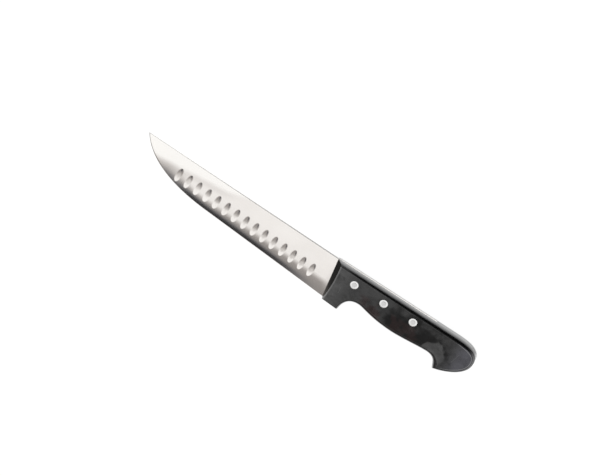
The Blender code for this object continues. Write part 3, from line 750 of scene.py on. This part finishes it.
def upper_side():
    """Top and butt, from ahead of the front to past the beak's tip, and the edge rounding there."""
    corner = (HANDLE_LENGTH - BUTT_CURVE, top_line(HANDLE_LENGTH - BUTT_CURVE))
    line = np.linspace((-RUN_ON, top_line(-RUN_ON)), corner, 2 * LINE_STEPS)
    rise = math.degrees(math.atan2(corner[1] - line[0, 1], corner[0] - line[0, 0]))
    butt = chain(corner, ((rise, 0.53), REAR, (-91, 0.42)), ((-91, 0.32), BEAK, (194, 0.33)))
    points = np.vstack([line, butt, BEAK + heading(194) * EXTRA[1:]])
    last = len(line) - 1
    stops = [last * RUN_ON / (corner[0] + RUN_ON), last, 3 * LINE_STEPS, 4 * LINE_STEPS]
    sizes = [TOP_ROUND_FRONT, TOP_ROUND_BUTT, TOP_ROUND_BUTT, BEAK_ROUND]
    return points, np.interp(np.arange(len(points)), stops, sizes)


def lower_side():
    """Beak, belly and the guard's back, from past the beak's tip to below the guard."""
    guard = (GUARD_LENGTH, guard_foot(GUARD_LENGTH))
    grip = chain(BEAK, ((118.7, 0.372), GRIP_REAR, (181, 0.551)), ((181, 0.16), BELLY, (180, 0.28)),
                 ((180, 0.60), GRIP_FRONT, (180, 0.14)), ((180, 0.483), guard, (266, 0.419)))
    points = np.vstack([BEAK - heading(118.7) * EXTRA[::-1], grip, guard + heading(266) * EXTRA[1:]])
    stops = len(EXTRA) + LINE_STEPS * np.array([0, 0.3, 1, 3, 4])
    sizes = [BEAK_ROUND, BEAK_FRONT_ROUND, GRIP_ROUND, GRIP_ROUND, GUARD_ROUND]
    return points, np.interp(np.arange(len(points)), stops, sizes)


UPPER, LOWER = upper_side(), lower_side()
print("outline: upper line", len(UPPER[0]), "points, lower line", len(LOWER[0]), "points")

# %% [markdown]
# ## The handle's skin
#
# The side of a scale is crowned: from the middle plane it bulges on a large radius, and turns over
# on a small one into the flat face. Each ring is the outline moved inwards by that profile's
# inset. The two lines and the sloping front are trimmed against each other at every level, which
# keeps the corners crisp, where a scaled copy would smear them.

# %% Profile of a scale's side
CROWN_RADIUS = 0.018
CROWN_PART = 0.4  # levels from 0 to this lie on the crown
FACE_BAND = 0.0004  # flat band round the face, past level 1
FRONT_BEVEL = (0.0040, 0.0006)  # how far the front face leans back, at the spine and at the foot
FRONT_BEVEL_SWELL = 0.0013


def side_profile(level, rounding):
    """Inset and height at a level: an arc of the crown radius, an arc of the rounding, a flat."""
    bend = np.arcsin((HALF_HANDLE - rounding) / (CROWN_RADIUS - rounding))
    if level <= CROWN_PART:
        angle = bend * level / CROWN_PART
        return CROWN_RADIUS * (1 - np.cos(angle)), CROWN_RADIUS * np.sin(angle)
    centre = CROWN_RADIUS - (CROWN_RADIUS - rounding) * np.cos(bend)
    turn = min(1, (level - CROWN_PART) / (1 - CROWN_PART))
    angle = bend + (math.pi / 2 - bend) * turn
    inset = centre - rounding * np.cos(angle) + max(0, level - 1) * FACE_BAND
    return inset, HALF_HANDLE - rounding + rounding * np.sin(angle)


def front_lean(down):
    """How far the front leans back at the face: a straight change down the guard, plus a swell."""
    return blend(*FRONT_BEVEL, down) + FRONT_BEVEL_SWELL * 4 * down * (1 - down)


def front_face(y, z):
    """The x of the handle's front: the front line, leaning back towards the face."""
    lean = front_lean(np.clip(-y / GUARD_DEPTH, 0, 1))
    return front_line(y) + lean * np.clip((z - HALF_STOCK) / (HALF_HANDLE - HALF_STOCK), 0, 1)


def foot_inset(z):
    """How far the rounding of the guard's foot draws it up at a height: a quarter circle."""
    rise = np.clip(z - HALF_HANDLE + GUARD_FOOT_ROUND, 0, GUARD_FOOT_ROUND)
    return GUARD_FOOT_ROUND - np.sqrt(GUARD_FOOT_ROUND**2 - rise**2)


print("inset of the flat face at the butt, in mm:", in_mm(side_profile(1, TOP_ROUND_BUTT)[0]))

# %% Trimming the lines against each other
UPPER_POINTS, LOWER_POINTS, FOOT_POINTS, FRONT_POINTS = 150, 190, 14, 36
END_CROWDING = 8  # how fast even spacing gives way near a line's ends


def offset(points, distance):
    """Each point of a line moved inwards, square to its direction and to the right of it."""
    step = np.gradient(points, axis=0)
    step = step / np.linalg.norm(step, axis=1)[:, None]
    return points + np.column_stack([step[:, 1], -step[:, 0]]) * distance[:, None]


def turn_between(a, b):
    """The cross product of two directions in the plane."""
    return a[..., 0] * b[..., 1] - a[..., 1] * b[..., 0]


def crossing(first, second):
    """Where two lines cross, as a place along each, from the cross products of their pieces."""
    a, b = first[:-1, None], np.diff(first, axis=0)[:, None]
    c, d = second[None, :-1], np.diff(second, axis=0)[None]
    cross = turn_between(b, d)
    cross[cross == 0] = np.finfo(float).tiny
    s, t = turn_between(c - a, d) / cross, turn_between(c - a, b) / cross
    i, j = np.argwhere((s >= 0) & (s < 1) & (t >= 0) & (t < 1))[0]
    return i + s[i, j], j + t[i, j]


def first_change(values):
    """The place where a row of values first changes its sign, by a straight line between two."""
    i = int(np.argmax(np.sign(values[1:]) != np.sign(values[:-1])))
    return i + values[i] / (values[i] - values[i + 1])


def trimmed(line, height, first, last, count):
    """A line cut to a range of places and spaced anew, nearly evenly but exact at both ends."""
    share = np.linspace(0, 1, count)
    whole = len(line) - 1
    start = first / whole * (1 - share)**END_CROWDING
    stop = (1 - last / whole) * share**END_CROWDING
    at = np.clip((share + start - stop) * whole, first, last)
    columns = (line[:, 0], line[:, 1], np.broadcast_to(height, len(line)))
    return np.column_stack([np.interp(at, np.arange(len(line)), column) for column in columns])


def scale_ring(level):
    """One ring: the upper line, the lower line, the guard's foot and the front, each cut to fit."""
    upper_inset, upper_z = side_profile(level, UPPER[1])
    lower_inset, lower_z = side_profile(level, LOWER[1])
    upper, lower = offset(UPPER[0], upper_inset), offset(LOWER[0], lower_inset)
    inward = max(0, level - 1) * FACE_BAND
    half, quarter, middle = len(upper) // 2, len(lower) // 4, len(lower) // 2
    tip_upper, tip_lower = crossing(upper[half:], lower[:quarter])
    start = first_change(upper[:, 0] - front_face(upper[:, 1], upper_z) - inward)
    foot = guard_foot(lower[:, 0]) + foot_inset(lower_z) + inward
    stop = middle + first_change((lower[:, 1] - foot)[middle:])
    top = trimmed(upper, upper_z, start, tip_upper + half, UPPER_POINTS)
    low = trimmed(lower, lower_z, tip_lower, stop, LOWER_POINTS)
    corner_z = low[-1, 2]
    corner_y = guard_foot(front_line(-GUARD_DEPTH)) + foot_inset(corner_z) + inward
    corner = np.array([front_face(corner_y, corner_z) + inward, corner_y, corner_z])
    base = low[-1] + (corner - low[-1]) * np.linspace(0, 1, FOOT_POINTS)[1:, None]
    rise = corner + (top[0] - corner) * np.linspace(0, 1, FRONT_POINTS)[1:-1, None]
    rise[:, 0] = front_face(rise[:, 1], rise[:, 2]) + inward
    return np.vstack([top, low[1:], base, rise])


CROWN_LEVELS, ROUND_LEVELS = 7, 13
LEVELS = np.concatenate([np.linspace(0, CROWN_PART, CROWN_LEVELS),
                         np.linspace(CROWN_PART, 1, ROUND_LEVELS)[1:], [2]])
scale_rings = np.array([scale_ring(level) for level in LEVELS])
print("scale: rings of", scale_rings.shape[1], "points at", len(LEVELS), "levels")

# %% [markdown]
# The corners at the front, the guard's foot and the beak are never quite sharp, so a small Bevel
# eases them. Then each scale is milled out with cutters: a pocket for the tang and a stepped hole
# for each rivet. Boolean modifiers do this exactly, and are applied, so a plain mesh is kept.

# %% Turned shapes and cutters
def turned(profile, steps=96):
    """Rings of a turned shape: each (radius, height) of the profile swept through a full circle."""
    radius, height = np.array(profile).T
    angle = np.arange(steps) * 2 * math.pi / steps
    x, y = np.outer(radius, np.cos(angle)), np.outer(radius, np.sin(angle))
    return np.stack([x, y, np.broadcast_to(height[:, None], x.shape)], axis=-1)


def reworked(mesh, change):
    """A mesh after a function has changed its points and faces, with the faces outwards."""
    shape = bmesh.new()
    shape.from_mesh(mesh)
    change(shape)
    bmesh.ops.recalc_face_normals(shape, faces=shape.faces)
    shape.to_mesh(mesh)
    shape.free()
    return mesh


def merge(shape):
    """Merges doubled points, which closes the poles of what is turned."""
    bmesh.ops.remove_doubles(shape, verts=shape.verts, dist=1e-7)
    bmesh.ops.dissolve_degenerate(shape, edges=shape.edges, dist=1e-8)


def close(shape):
    """Fills the opening with a face."""
    bmesh.ops.holes_fill(shape, edges=[edge for edge in shape.edges if edge.is_boundary])


def cut(piece, meshes):
    """Cuts meshes out of a piece, one after another, and keeps the result as its mesh."""
    tools = [bpy.data.objects.new("cutter", mesh) for mesh in meshes]
    for tool in tools:
        bpy.context.scene.collection.objects.link(tool)
        step = piece.modifiers.new("cut", "BOOLEAN")
        step.operation, step.solver, step.object = "DIFFERENCE", "EXACT", tool
    keep_modifiers(piece)
    for tool in tools:
        bpy.data.objects.remove(tool)


def keep_modifiers(piece):
    """Makes what the modifiers show into the piece's own mesh."""
    shown = piece.evaluated_get(bpy.context.evaluated_depsgraph_get())
    mesh = bpy.data.meshes.new_from_object(shown)
    piece.modifiers.clear()
    piece.data = mesh


print("points of a turned ring:", turned([(1, 0)]).shape[1])

# %% Scales
SEAM = 0.00004  # between a scale and what it touches
SEAT_SEAM = 0.00022  # round a rivet's head
CORNER_EASE, CORNER_STEPS = 0.00028, 3
CORNER_ANGLE = 38  # corners that turn by more degrees are eased
SCALE_SHARP = 32  # and edges past this one stay sharp in the shading
HEAD_DIAMETER = float(np.ptp(extent("rivet_pin_front"), axis=0)[0])
HEAD_THICKNESS = 0.0014
TUBE_DIAMETER = 0.0044


def hole_mesh(x, y):
    """A stepped hole right through: the tube's width in the middle and the head's at both ends."""
    wide, narrow = HEAD_DIAMETER / 2 + SEAT_SEAM, TUBE_DIAMETER / 2 + SEAM
    step, end = HALF_HANDLE - HEAD_THICKNESS - SEAM, HALF_HANDLE + RUN_ON
    upper = [(0, end), (wide, end), (wide, step), (narrow, step)]
    lower = [(radius, -height) for radius, height in reversed(upper)]
    return reworked(skin("hole", turned(upper + lower) + (x, y, 0)), merge)


def pocket_mesh():
    """The room for the tang: its outline, a seam wider and open at the front and the top."""
    _, under = tang_lines()
    ahead = -RUN_ON - FRONT_BEVEL[0]
    outline = np.vstack([(ahead, under[0, 1] - SEAM), under[1:] + (SEAM, -SEAM),
                         (TANG_END + SEAM, RUN_ON), (ahead, RUN_ON)])
    half = HALF_STOCK + SEAM
    rings = np.array([np.column_stack([outline, np.full(len(outline), z)]) for z in (-half, half)])
    return reworked(skin("pocket", rings), merge)


def make_scale(name, side, finish):
    """A scale: the skin without its inner cap is bevelled, closed at the seam and then cut."""
    rings = scale_rings.copy()
    rings[..., 2] = side * np.maximum(rings[..., 2], SEAM / 2)
    mesh = skin(name, rings, caps=(False, True))
    store(mesh, "corner", np.repeat(LEVELS == 1, rings.shape[1]).astype(float))
    piece = place(name, mesh, finish)
    ease = piece.modifiers.new("ease", "BEVEL")
    ease.width, ease.segments, ease.limit_method = CORNER_EASE, CORNER_STEPS, "ANGLE"
    ease.angle_limit = math.radians(CORNER_ANGLE)
    keep_modifiers(piece)
    reworked(piece.data, close)
    holes = [hole_mesh(*(rivet_places[label] - ORIGIN)[:2]) for label in RIVET_NAMES]
    cut(piece, [pocket_mesh()] + holes)
    smooth(piece.data, SCALE_SHARP)
    return piece


print("diameter of a rivet's seat in mm:", in_mm(HEAD_DIAMETER + 2 * SEAT_SEAM))

# %% [markdown]
# ## The plastic's finish
#
# The scales are moulded in black plastic, riveted on and ground flush with the rivets, so the
# faces lose the shiny skin of the mould, which stays on the rounded sides. The front is trimmed to
# the blade and stays dull and clean. Rubbing and handling leave the faces cloudy. A rubbed patch
# scatters the light away and looks deep black, and between such patches lies a grey haze, which is
# partly painted sheen that stands for reflected light. The corner round each face and the front rim
# are painted pale, partly as scuffs and partly as a painted highlight, and the side at the butt's
# shoulder as a painted reflection.

# %% Rubbed black plastic
BLACK = (0.0016, 0.0016, 0.0018)
# Grey haze, and a cooler one, partly painted sheen that stands for reflected light
HAZE_AND_SHEEN = (0.083, 0.083, 0.083)
COOL_HAZE_AND_SHEEN = (0.098, 0.098, 0.118)
WARM = (0.018, 0.0055, 0.0050)
# Pale scuffs and scratches, and also a painted highlight along the face's corner and front rim
SCUFF_AND_HIGHLIGHT = (0.30, 0.30, 0.30)
# Each scratch runs from a place to a place, with its width
SCRATCHES = (((0.1192, -0.0175), (0.1212, -0.0088), 0.00018),
             ((0.0135, -0.0165), (0.0142, -0.0215), 0.00015),
             ((0.0105, -0.0245), (0.0118, -0.0265), 0.00015))
RUBBED_FROM, RUBBED_TO = (0.030, 0.068), (0.130, 0.095)  # the part most rubbed, along x
RUBBED_BELOW = (-0.0045, -0.0105)  # and down the face
PATCH, PATCH_RADIUS = (0.1018, -0.0215), 0.0125  # a patch of haze and painted sheen left at its end
WARM_FROM, WARM_TO = (0.026, 0.036), (0.098, 0.088)  # where a brown cast shows, along x
WARM_BELOW = (-0.0095, -0.0130)  # and down the face
WARM_BAND = (0.46, 0.56)  # of the noise that breaks it up
COOL_FROM = (0.108, 0.124)  # where the haze and painted sheen turn cool, along x
HAZE_AND_SHEEN_FRONT, HAZE_AND_SHEEN_BUTT = (0.022, 0.008), (0.114, 0.128)  # where there is more haze and painted sheen
SKIN_SPARED, SKIN_TOP = (0.018, 0.005), (-0.0050, -0.0038)  # the top's front, where the side gets haze and painted sheen too
FACE_EDGE = (0.00002, 0.0003)  # depths below the face over which the side begins
SHOULDER_BAND = (0.0045, 0.0015)  # and over which its shoulder, painted pale as a reflection, does
SHOULDER_FROM = (0.127, 0.134)  # along x
CORNER_FROM = (0.112, 0.127)  # where the corner's scuff and painted highlight are strongest, along x
FRONT_BAND = (0.0004, 0.0001)  # distances from the front face over which it begins
FRONT_SCUFF_AND_HIGHLIGHT, FOOT_SCUFF_AND_HIGHLIGHT = (0.0014, 0.0003), (-0.022, -0.031)  # its rim, painted pale as scuff and highlight, paler low down
BROAD_PATCHES, FINE_PATCHES, WARM_PATCHES = (75, 85, 60), (170, 190, 150), (85, 85, 60)
WAVE_HEIGHT = 0.0004  # of the unevenness


def scratch(x, y, start, end, width):
    """Nearness to a line between two places: 1 on it, 0 a width away."""
    (ax, ay), (bx, by) = start, end
    length = math.dist(start, end)
    ux, uy = (bx - ax) / length, (by - ay) / length
    along = (x - ax) * ux + (y - ay) * uy
    aside = abs((x - ax) * uy - (y - ay) * ux)
    past = (along - length).most(-along).most(0.0)
    return (aside + past).step(width, 0.0)


def rubbed_plastic():
    """Black plastic: rubbed dark patches, grey haze that is partly painted sheen, a brown cast,
    scratches, and a corner painted pale as scuff and highlight.
    """
    finish = new_finish("rubbed_plastic", Metallic=0.0, Coat_Roughness=0.08)
    x, y, z = finish.axes()
    below = HALF_HANDLE - abs(z)
    side = below.step(*FACE_EDGE)
    rise = (abs(z) - HALF_STOCK) / (HALF_HANDLE - HALF_STOCK)
    inside = x - front_line(y) - front_lean(-y / GUARD_DEPTH) * rise
    front = inside.step(*FRONT_BAND) * side
    broad = finish.noise(BROAD_PATCHES, detail=2)
    cloud = finish.noise(FINE_PATCHES, detail=4, roughness=0.6, shift=(5, 2, 8))
    patch = ((x - PATCH[0]).squared() + (y - PATCH[1]).squared()).root() + 0.010 * (broad - 0.5)
    spared = patch.step(PATCH_RADIUS, PATCH_RADIUS - 0.0025)
    zone = x.step(*RUBBED_FROM) * x.step(*RUBBED_TO) * (1 - spared)
    zone = zone * (0.55 + 0.45 * y.step(*RUBBED_BELOW))
    rubbed = (0.85 * zone + 1.5 * (broad - 0.5) + 1.5 * (cloud - 0.5)).step(-0.05, 0.95) * (1 - side)
    warm = finish.noise(WARM_PATCHES, detail=2, shift=(1, 9, 4)).step(*WARM_BAND)
    warm = warm * x.step(*WARM_FROM) * x.step(*WARM_TO) * y.step(*WARM_BELOW)
    marks = sum(scratch(x, y, *line) for line in SCRATCHES)
    # Pale scuffs round the face's corner, partly a painted highlight, strongest at the butt
    worn_and_highlit = finish.attribute("corner").step(0.1, 0.9) * (2.0 * x.step(*CORNER_FROM) + 0.15)
    # The front rim is painted pale too, as scuffs and a painted highlight
    worn_and_highlit = worn_and_highlit + inside.step(*FRONT_SCUFF_AND_HIGHLIGHT) * (0.5 + 0.9 * y.step(*FOOT_SCUFF_AND_HIGHLIGHT)) * (1 - side)
    # Painted reflection: the side at the butt's shoulder is painted pale
    worn_and_highlit = worn_and_highlit + 0.55 * side * x.step(*SHOULDER_FROM) * below.step(*SHOULDER_BAND)
    worn_and_highlit = worn_and_highlit * (0.55 + 0.9 * cloud)
    skin_kept = (side * (1 - x.step(*SKIN_SPARED) * y.step(*SKIN_TOP))).most(front)
    # Grey haze that is partly painted sheen, cooler towards the butt
    haze_and_sheen = finish.mix(x.step(*COOL_FROM), HAZE_AND_SHEEN, COOL_HAZE_AND_SHEEN)
    ends = x.step(*HAZE_AND_SHEEN_FRONT) + x.step(*HAZE_AND_SHEEN_BUTT)
    amount = (0.78 * cloud - 0.02) * (1 + 1.4 * ends + 0.8 * spared) * (1 - rubbed) * (1 - skin_kept)
    colour = finish.mix(warm * (1 - side), finish.mix(amount, BLACK, haze_and_sheen), WARM)
    colour = finish.mix((worn_and_highlit + 0.5 * marks).least(1.0), colour, SCUFF_AND_HIGHLIGHT)
    finish.surface(Base_Color=colour, Coat_Weight=side * (1 - front),
                   Roughness=0.15 + 0.42 * rubbed + 0.05 * cloud,
                   Normal=finish.bump(broad + 0.2 * cloud, WAVE_HEIGHT))
    return finish.owner


plastic = rubbed_plastic()
stand_in(make_scale("left_scale", 1, plastic), "scale_left")
stand_in(make_scale("right_scale", -1, plastic), "scale_right")

# %% [markdown]
# ## The rivets
#
# A knife's rivet comes in two halves. One has a solid pin and the other a tube, and a press
# drives the pin into the tube. Both have a flat head that lies flush in the scale, with a
# shallow round mark from the punch. Each half is a turned shape: its profile, swept round.

# %% Rivet halves
HEAD_EDGE = 0.0002  # edge break on the head
DISH_DIAMETER = 0.0043  # the punch's mark
DISH_DEPTH = 0.000018
DISH_WALL = 0.00022  # the slope at its rim
PIN_DIAMETER = 0.0028
BORE_DIAMETER = PIN_DIAMETER + 0.0006
TUBE_FLOOR = 0.0008  # metal between the bore and the head
TUBE_END_SPACE = 0.0008
PIN_END_SPACE = 0.0005
RIVET_SHARP = 40  # edges that turn by more degrees stay sharp


def head_profile():
    """A head from the middle of its mark out to its rim: flat floor, short slope, flat, round edge."""
    dish, head = DISH_DIAMETER / 2, HEAD_DIAMETER / 2
    floor = [(at, -DISH_DEPTH) for at in (0, dish / 2, dish - 2 * DISH_WALL)]
    turn = np.linspace(0, math.pi, 9)
    wall = np.column_stack([dish - DISH_WALL * (1 + np.cos(turn)), DISH_DEPTH * (-1 - np.cos(turn)) / 2])
    turn = np.linspace(0, math.pi / 2, 6)
    rim = np.column_stack([head - HEAD_EDGE + HEAD_EDGE * np.sin(turn), HEAD_EDGE * (np.cos(turn) - 1)])
    return np.vstack([floor, wall[1:], rim, [(head, -HEAD_THICKNESS)]])


def pin_profile():
    """The solid half, which stops short of the floor of the other half's bore."""
    radius = PIN_DIAMETER / 2
    length = 2 * HALF_HANDLE - HEAD_THICKNESS - TUBE_FLOOR - PIN_END_SPACE
    shank = [(radius, -HEAD_THICKNESS), (radius, -length + HEAD_EDGE)]
    return np.vstack([head_profile(), shank, [(radius - HEAD_EDGE, -length), (0, -length)]])


def tube_profile():
    """The hollow half, whose bore takes the pin."""
    radius, bore = TUBE_DIAMETER / 2, BORE_DIAMETER / 2
    length, floor = 2 * HALF_HANDLE - HEAD_THICKNESS - TUBE_END_SPACE, HEAD_THICKNESS + TUBE_FLOOR
    shank = [(radius, -HEAD_THICKNESS), (radius, -length), (bore, -length), (bore, -floor), (0, -floor)]
    return np.vstack([head_profile(), shank])


def make_rivet(name, profile, middle, side, finish):
    """One half, turned, with the distance from its axis stored at the points for the finish."""
    points = turned(profile)
    points[..., 2] = side * (points[..., 2] + HALF_HANDLE)
    mesh = reworked(skin(name, points + (*middle, 0)), merge)
    places = np.empty(len(mesh.vertices) * 3)
    mesh.vertices.foreach_get("co", places)
    spread = places.reshape(-1, 3)[:, :2] - ORIGIN[:2] - middle
    store(mesh, "radius", np.hypot(*spread.T))
    smooth(mesh, RIVET_SHARP)
    return place(name, mesh, finish)


print("points of the profiles: pin", len(pin_profile()), "and tube", len(tube_profile()))

# %% [markdown]
# Rivets are turned from a pale alloy. The ring round the punch's mark is faced in the lathe and
# shines. The mark is a little duller and greyer, because the punch prints its grain into it.

# %% Rivet alloy
ALLOY = (0.81, 0.81, 0.80)
ALLOY_DULL = (0.655, 0.655, 0.65)
MARK_BLUR = 0.0001
TURNING_WAVES = 42000.0  # lathe lines, in radians to the metre
GRAIN_HEIGHT = 0.000001


def rivet_alloy():
    """Pale metal: a duller, grainy mark inside and fine turning lines outside it."""
    finish = new_finish("rivet_alloy", Metallic=1.0)
    radius = finish.attribute("radius")
    mark = radius.step(DISH_DIAMETER / 2 + MARK_BLUR, DISH_DIAMETER / 2 - MARK_BLUR)
    grain = finish.noise((2500, 2500, 2500), detail=3)
    height = (radius * TURNING_WAVES).sine() * (1 - mark) * 0.5 + grain * mark
    finish.surface(Base_Color=finish.mix(mark, ALLOY, ALLOY_DULL),
                   Roughness=0.13 + 0.05 * mark + 0.04 * grain,
                   Normal=finish.bump(height, GRAIN_HEIGHT))
    return finish.owner


alloy = rivet_alloy()
for label in RIVET_NAMES:
    for kind, profile, side in (("pin", pin_profile(), 1), ("tube", tube_profile(), -1)):
        middle = (rivet_places[label] - ORIGIN)[:2]
        half = make_rivet(f"{kind}_{label}", profile, middle, side, alloy)
        stand_in(half, f"rivet_{kind}_{label}")

# %% [markdown]
# ## The studio
#
# Polished things show the room, so the room makes this picture. A wide lit sheet hangs over the
# edge's side, where the blade's flats mirror it to the camera. It is bright where the flats look,
# and grey beyond, where the ground edge looks. A dark gap in the grey draws the dark line along
# the cutting edge. The table is white to the camera, and it keeps the knife's shadow.

# %% Table
TABLE_RANGE = (-3.0, 3.0)
TABLE_LEVEL = -0.0002  # just under the knife
PAINT = (0.8, 0.8, 0.8)
SHADOW_PAINT, TABLE_GLOW = (0.20, 0.20, 0.20), 0.93  # together they are white where no shadow falls


def table_white():
    """White to the camera, mirrors and glass, but for a share that keeps the knife's shadow."""
    finish = bare_finish(bpy.data.materials.new("table_white"))
    path = finish.node("ShaderNodeLightPath", {}, {}).outputs
    rays = [Varying(finish, path[f"Is {kind} Ray"]) for kind in ("Camera", "Glossy", "Transmission")]
    paint, tint = (finish.node("ShaderNodeBsdfDiffuse", {}, {"Color": colour}).outputs[0]
                   for colour in (PAINT, SHADOW_PAINT))
    glow = finish.node("ShaderNodeEmission", {}, {"Strength": TABLE_GLOW}).outputs[0]
    shown = finish.node("ShaderNodeAddShader", {}, {0: tint, 1: glow}).outputs[0]
    both = finish.node("ShaderNodeMixShader", {}, {0: sum(rays).least(1.0), 1: paint, 2: shown})
    finish.node("ShaderNodeOutputMaterial", {}, {"Surface": both.outputs[0]})
    finish.owner.cycles.emission_sampling = "NONE"
    return finish.owner


def card(name, x_range, y_range, height, finish):
    """A level stage rectangle over ranges of x and y."""
    (left, right), (low, high) = x_range, y_range
    corners = [(left, low, height), (right, low, height), (right, high, height), (left, high, height)]
    mesh = bpy.data.meshes.new(name)
    mesh.from_pydata(corners, [], [(0, 1, 2, 3)])
    piece = place(name, mesh, finish)
    piece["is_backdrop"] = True
    return piece


card("table", TABLE_RANGE, TABLE_RANGE, TABLE_LEVEL, table_white())
print("table from", *TABLE_RANGE, "m each way")

# %% The sheet overhead
SHEET_HEIGHT = 1.0
SHEET_X, SHEET_Y = (-1.1, 1.1), (-1.35, -0.16)
SHEET_BRIGHT, SHEET_GREY = 1.12, 0.345
GREY_TINT = (1.05, 1.0, 0.97)
GREY_EDGE = (-0.470, -0.383)  # where the grey gives way to the bright part, along y
GAP_START = (-0.447, -0.490)  # where the dark gap begins, at its left side
GAP_END = (-0.95, -0.75)  # and where it ends
GAP_SLANT = 0.45  # how it withdraws to the right
GAP_LEFT, GAP_RIGHT = (-0.20, -0.13), (0.085, 0.035)
GAP_DARK = 0.95  # how much light it takes away
GAP_TINT = (0.82, 0.88, 1.08)  # what little comes through it is cold


def sheet_glow():
    """Light through a sheet: bright, then grey, with a dark gap in the grey, from x and y alone."""
    finish = bare_finish(bpy.data.materials.new("sheet_glow"))
    x, y, _ = finish.axes((0, 0, 0))
    bright = y.step(*GREY_EDGE)
    gap = (y + GAP_SLANT * (x - GAP_LEFT[1])).step(*GAP_START) * y.step(*GAP_END)
    gap = gap * x.step(*GAP_LEFT) * x.step(*GAP_RIGHT)
    tint = finish.mix(gap, finish.mix(bright, GREY_TINT, (1.0, 1.0, 1.0)), GAP_TINT)
    finish.shine(blend(SHEET_GREY, SHEET_BRIGHT, bright) * (1 - GAP_DARK * gap), tint)
    return finish.owner


sheet = card("sheet", SHEET_X, SHEET_Y, SHEET_HEIGHT, sheet_glow())
sheet.visible_camera = False
print("sheet:", SHEET_HEIGHT, "m up, its light", SHEET_BRIGHT, "and", SHEET_GREY)

# %% [markdown]
# The handle's top and butt mirror the table close behind them. A strip of lit paper lies there, so
# their reflections fade from bright at the rim to grey further in, as in the picture.

# %% The lit paper behind the handle
RIM_NEAR, RIM_FAR = 1.80, 0.02  # its light next to the handle, and away from it
RIM_FADE = (0.034, 0.008)  # distances between which it rises
BUTT_ARC = 0.018  # radius that stands for the butt's curve
RIM_HEIGHT, RIM_REACH = 0.0001, 0.60  # just above the table, and how far it goes beyond the butt
RIM_SPLIT = ORIGIN[1] + 0.005  # where the paper along the top meets the one beyond the butt
RIM_PARTS = (("rim_top", (-0.30, RIM_REACH), (RIM_SPLIT, 0.50)),
             ("rim_butt", (ORIGIN[0] + HANDLE_LENGTH + 0.003, RIM_REACH), (-0.10, RIM_SPLIT)))


def rim_glow():
    """Light that falls off with the distance from the handle's top and butt.

    The distance is that from a quarter plane, whose corner is the centre of the butt's curve.
    """
    finish = bare_finish(bpy.data.materials.new("rim_glow"))
    x, y, _ = finish.axes()
    beyond = (x - (HANDLE_LENGTH - BUTT_ARC)).most(0.0)
    above = (y + BUTT_ARC).most(0.0)
    distance = (beyond.squared() + above.squared()).root() - BUTT_ARC
    finish.shine(blend(RIM_FAR, RIM_NEAR, distance.step(*RIM_FADE)))
    return finish.owner


def only_mirrored(piece):
    """Leaves a stage piece to be seen by shining surfaces alone."""
    piece.visible_camera = piece.visible_diffuse = piece.visible_shadow = False


for name, x_range, y_range in RIM_PARTS:
    only_mirrored(card(name, x_range, y_range, RIM_HEIGHT, rim_glow()))
print("rim paper: its light falls off within", RIM_FADE[0], "m")

# %% [markdown]
# All else that shines mirrors a dim dome. It is lit low down on the butt's side and all the way up
# beyond the butt, so that the knife reads well from every side. A dark slot behind the spine draws
# the black line between the handle's top and its face. Matt surfaces get their light from the
# world, which is the same all round, so a colour renders about as it is written.

# %% World and room
FILL = 0.8  # what matt surfaces get from all around
ROOM_RADIUS = 2.9
ROOM_RISE = np.radians(np.linspace(0, 88, 23))  # heights of its rings, seen from its middle
ROOM_DIM, ROOM_LIGHT = 0.22, 0.90  # what mirrors see of the room: most of it is dim
ROOM_LOW = (0.29, 0.15)  # it is light low down, by height over radius
ROOM_OPEN = (0.55, 0.45)  # but not on the spine's side, by y over radius
ROOM_SIDE = (0.10, 0.35)  # nor beside the blade, by x over radius
ROOM_END = (0.45, 0.80)  # and light all the way up beyond the butt
SLOT_DIM, SLOT_MIDDLE = 0.02, 0.10  # a dark slot behind the spine, and its middle, by x over radius
SLOT_SIDE, SLOT_START = (0.36, 0.22), (-0.30, -0.17)  # where it ends sideways, and where overhead


def make_world():
    """White to the camera and an even fill to matt surfaces. Mirrors see the stage pieces instead."""
    world = bpy.data.worlds.new("studio")
    bpy.context.scene.world = world
    finish = bare_finish(world)
    path = finish.node("ShaderNodeLightPath", {}, {}).outputs
    white = Varying(finish, path["Is Camera Ray"]).most(Varying(finish, path["Is Transmission Ray"]))
    back = finish.node("ShaderNodeBackground", {}, {"Strength": blend(FILL, 1, white)})
    finish.node("ShaderNodeOutputWorld", {}, {"Surface": back.outputs[0]})
    world.cycles_visibility.glossy = False


def room_glow():
    """Dim light, a stronger one on the butt's side, and a dark slot behind the spine."""
    finish = bare_finish(bpy.data.materials.new("room_glow"))
    x, y, z = (axis / ROOM_RADIUS for axis in finish.axes())
    slot = abs(x - SLOT_MIDDLE).step(*SLOT_SIDE) * y.step(*SLOT_START)
    lit = (z.step(*ROOM_LOW) * y.step(*ROOM_OPEN) * x.step(*ROOM_SIDE)).most(x.step(*ROOM_END))
    finish.shine(blend(blend(ROOM_DIM, SLOT_DIM, slot), ROOM_LIGHT, lit))
    finish.owner.cycles.emission_sampling = "NONE"
    return finish.owner


def make_room():
    """A dome round the knife, turned from a quarter circle, that only mirrors see."""
    dome = turned(ROOM_RADIUS * np.column_stack([np.cos(ROOM_RISE), np.sin(ROOM_RISE)]))
    room = place("room", skin("room", dome, caps=(False, True)), room_glow())
    room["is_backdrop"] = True
    only_mirrored(room)


make_room()
make_world()
bpy.context.scene.view_settings.view_transform = "Standard"
print("studio: fill", FILL, "sheet", SHEET_BRIGHT)

# %% Compare the boxes and finish
visual_low, visual_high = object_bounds()
grown = np.array([*(cad_low - visual_low), *(visual_high - cad_high)])
print("grown in mm:", np.round(grown * 1000, 3))
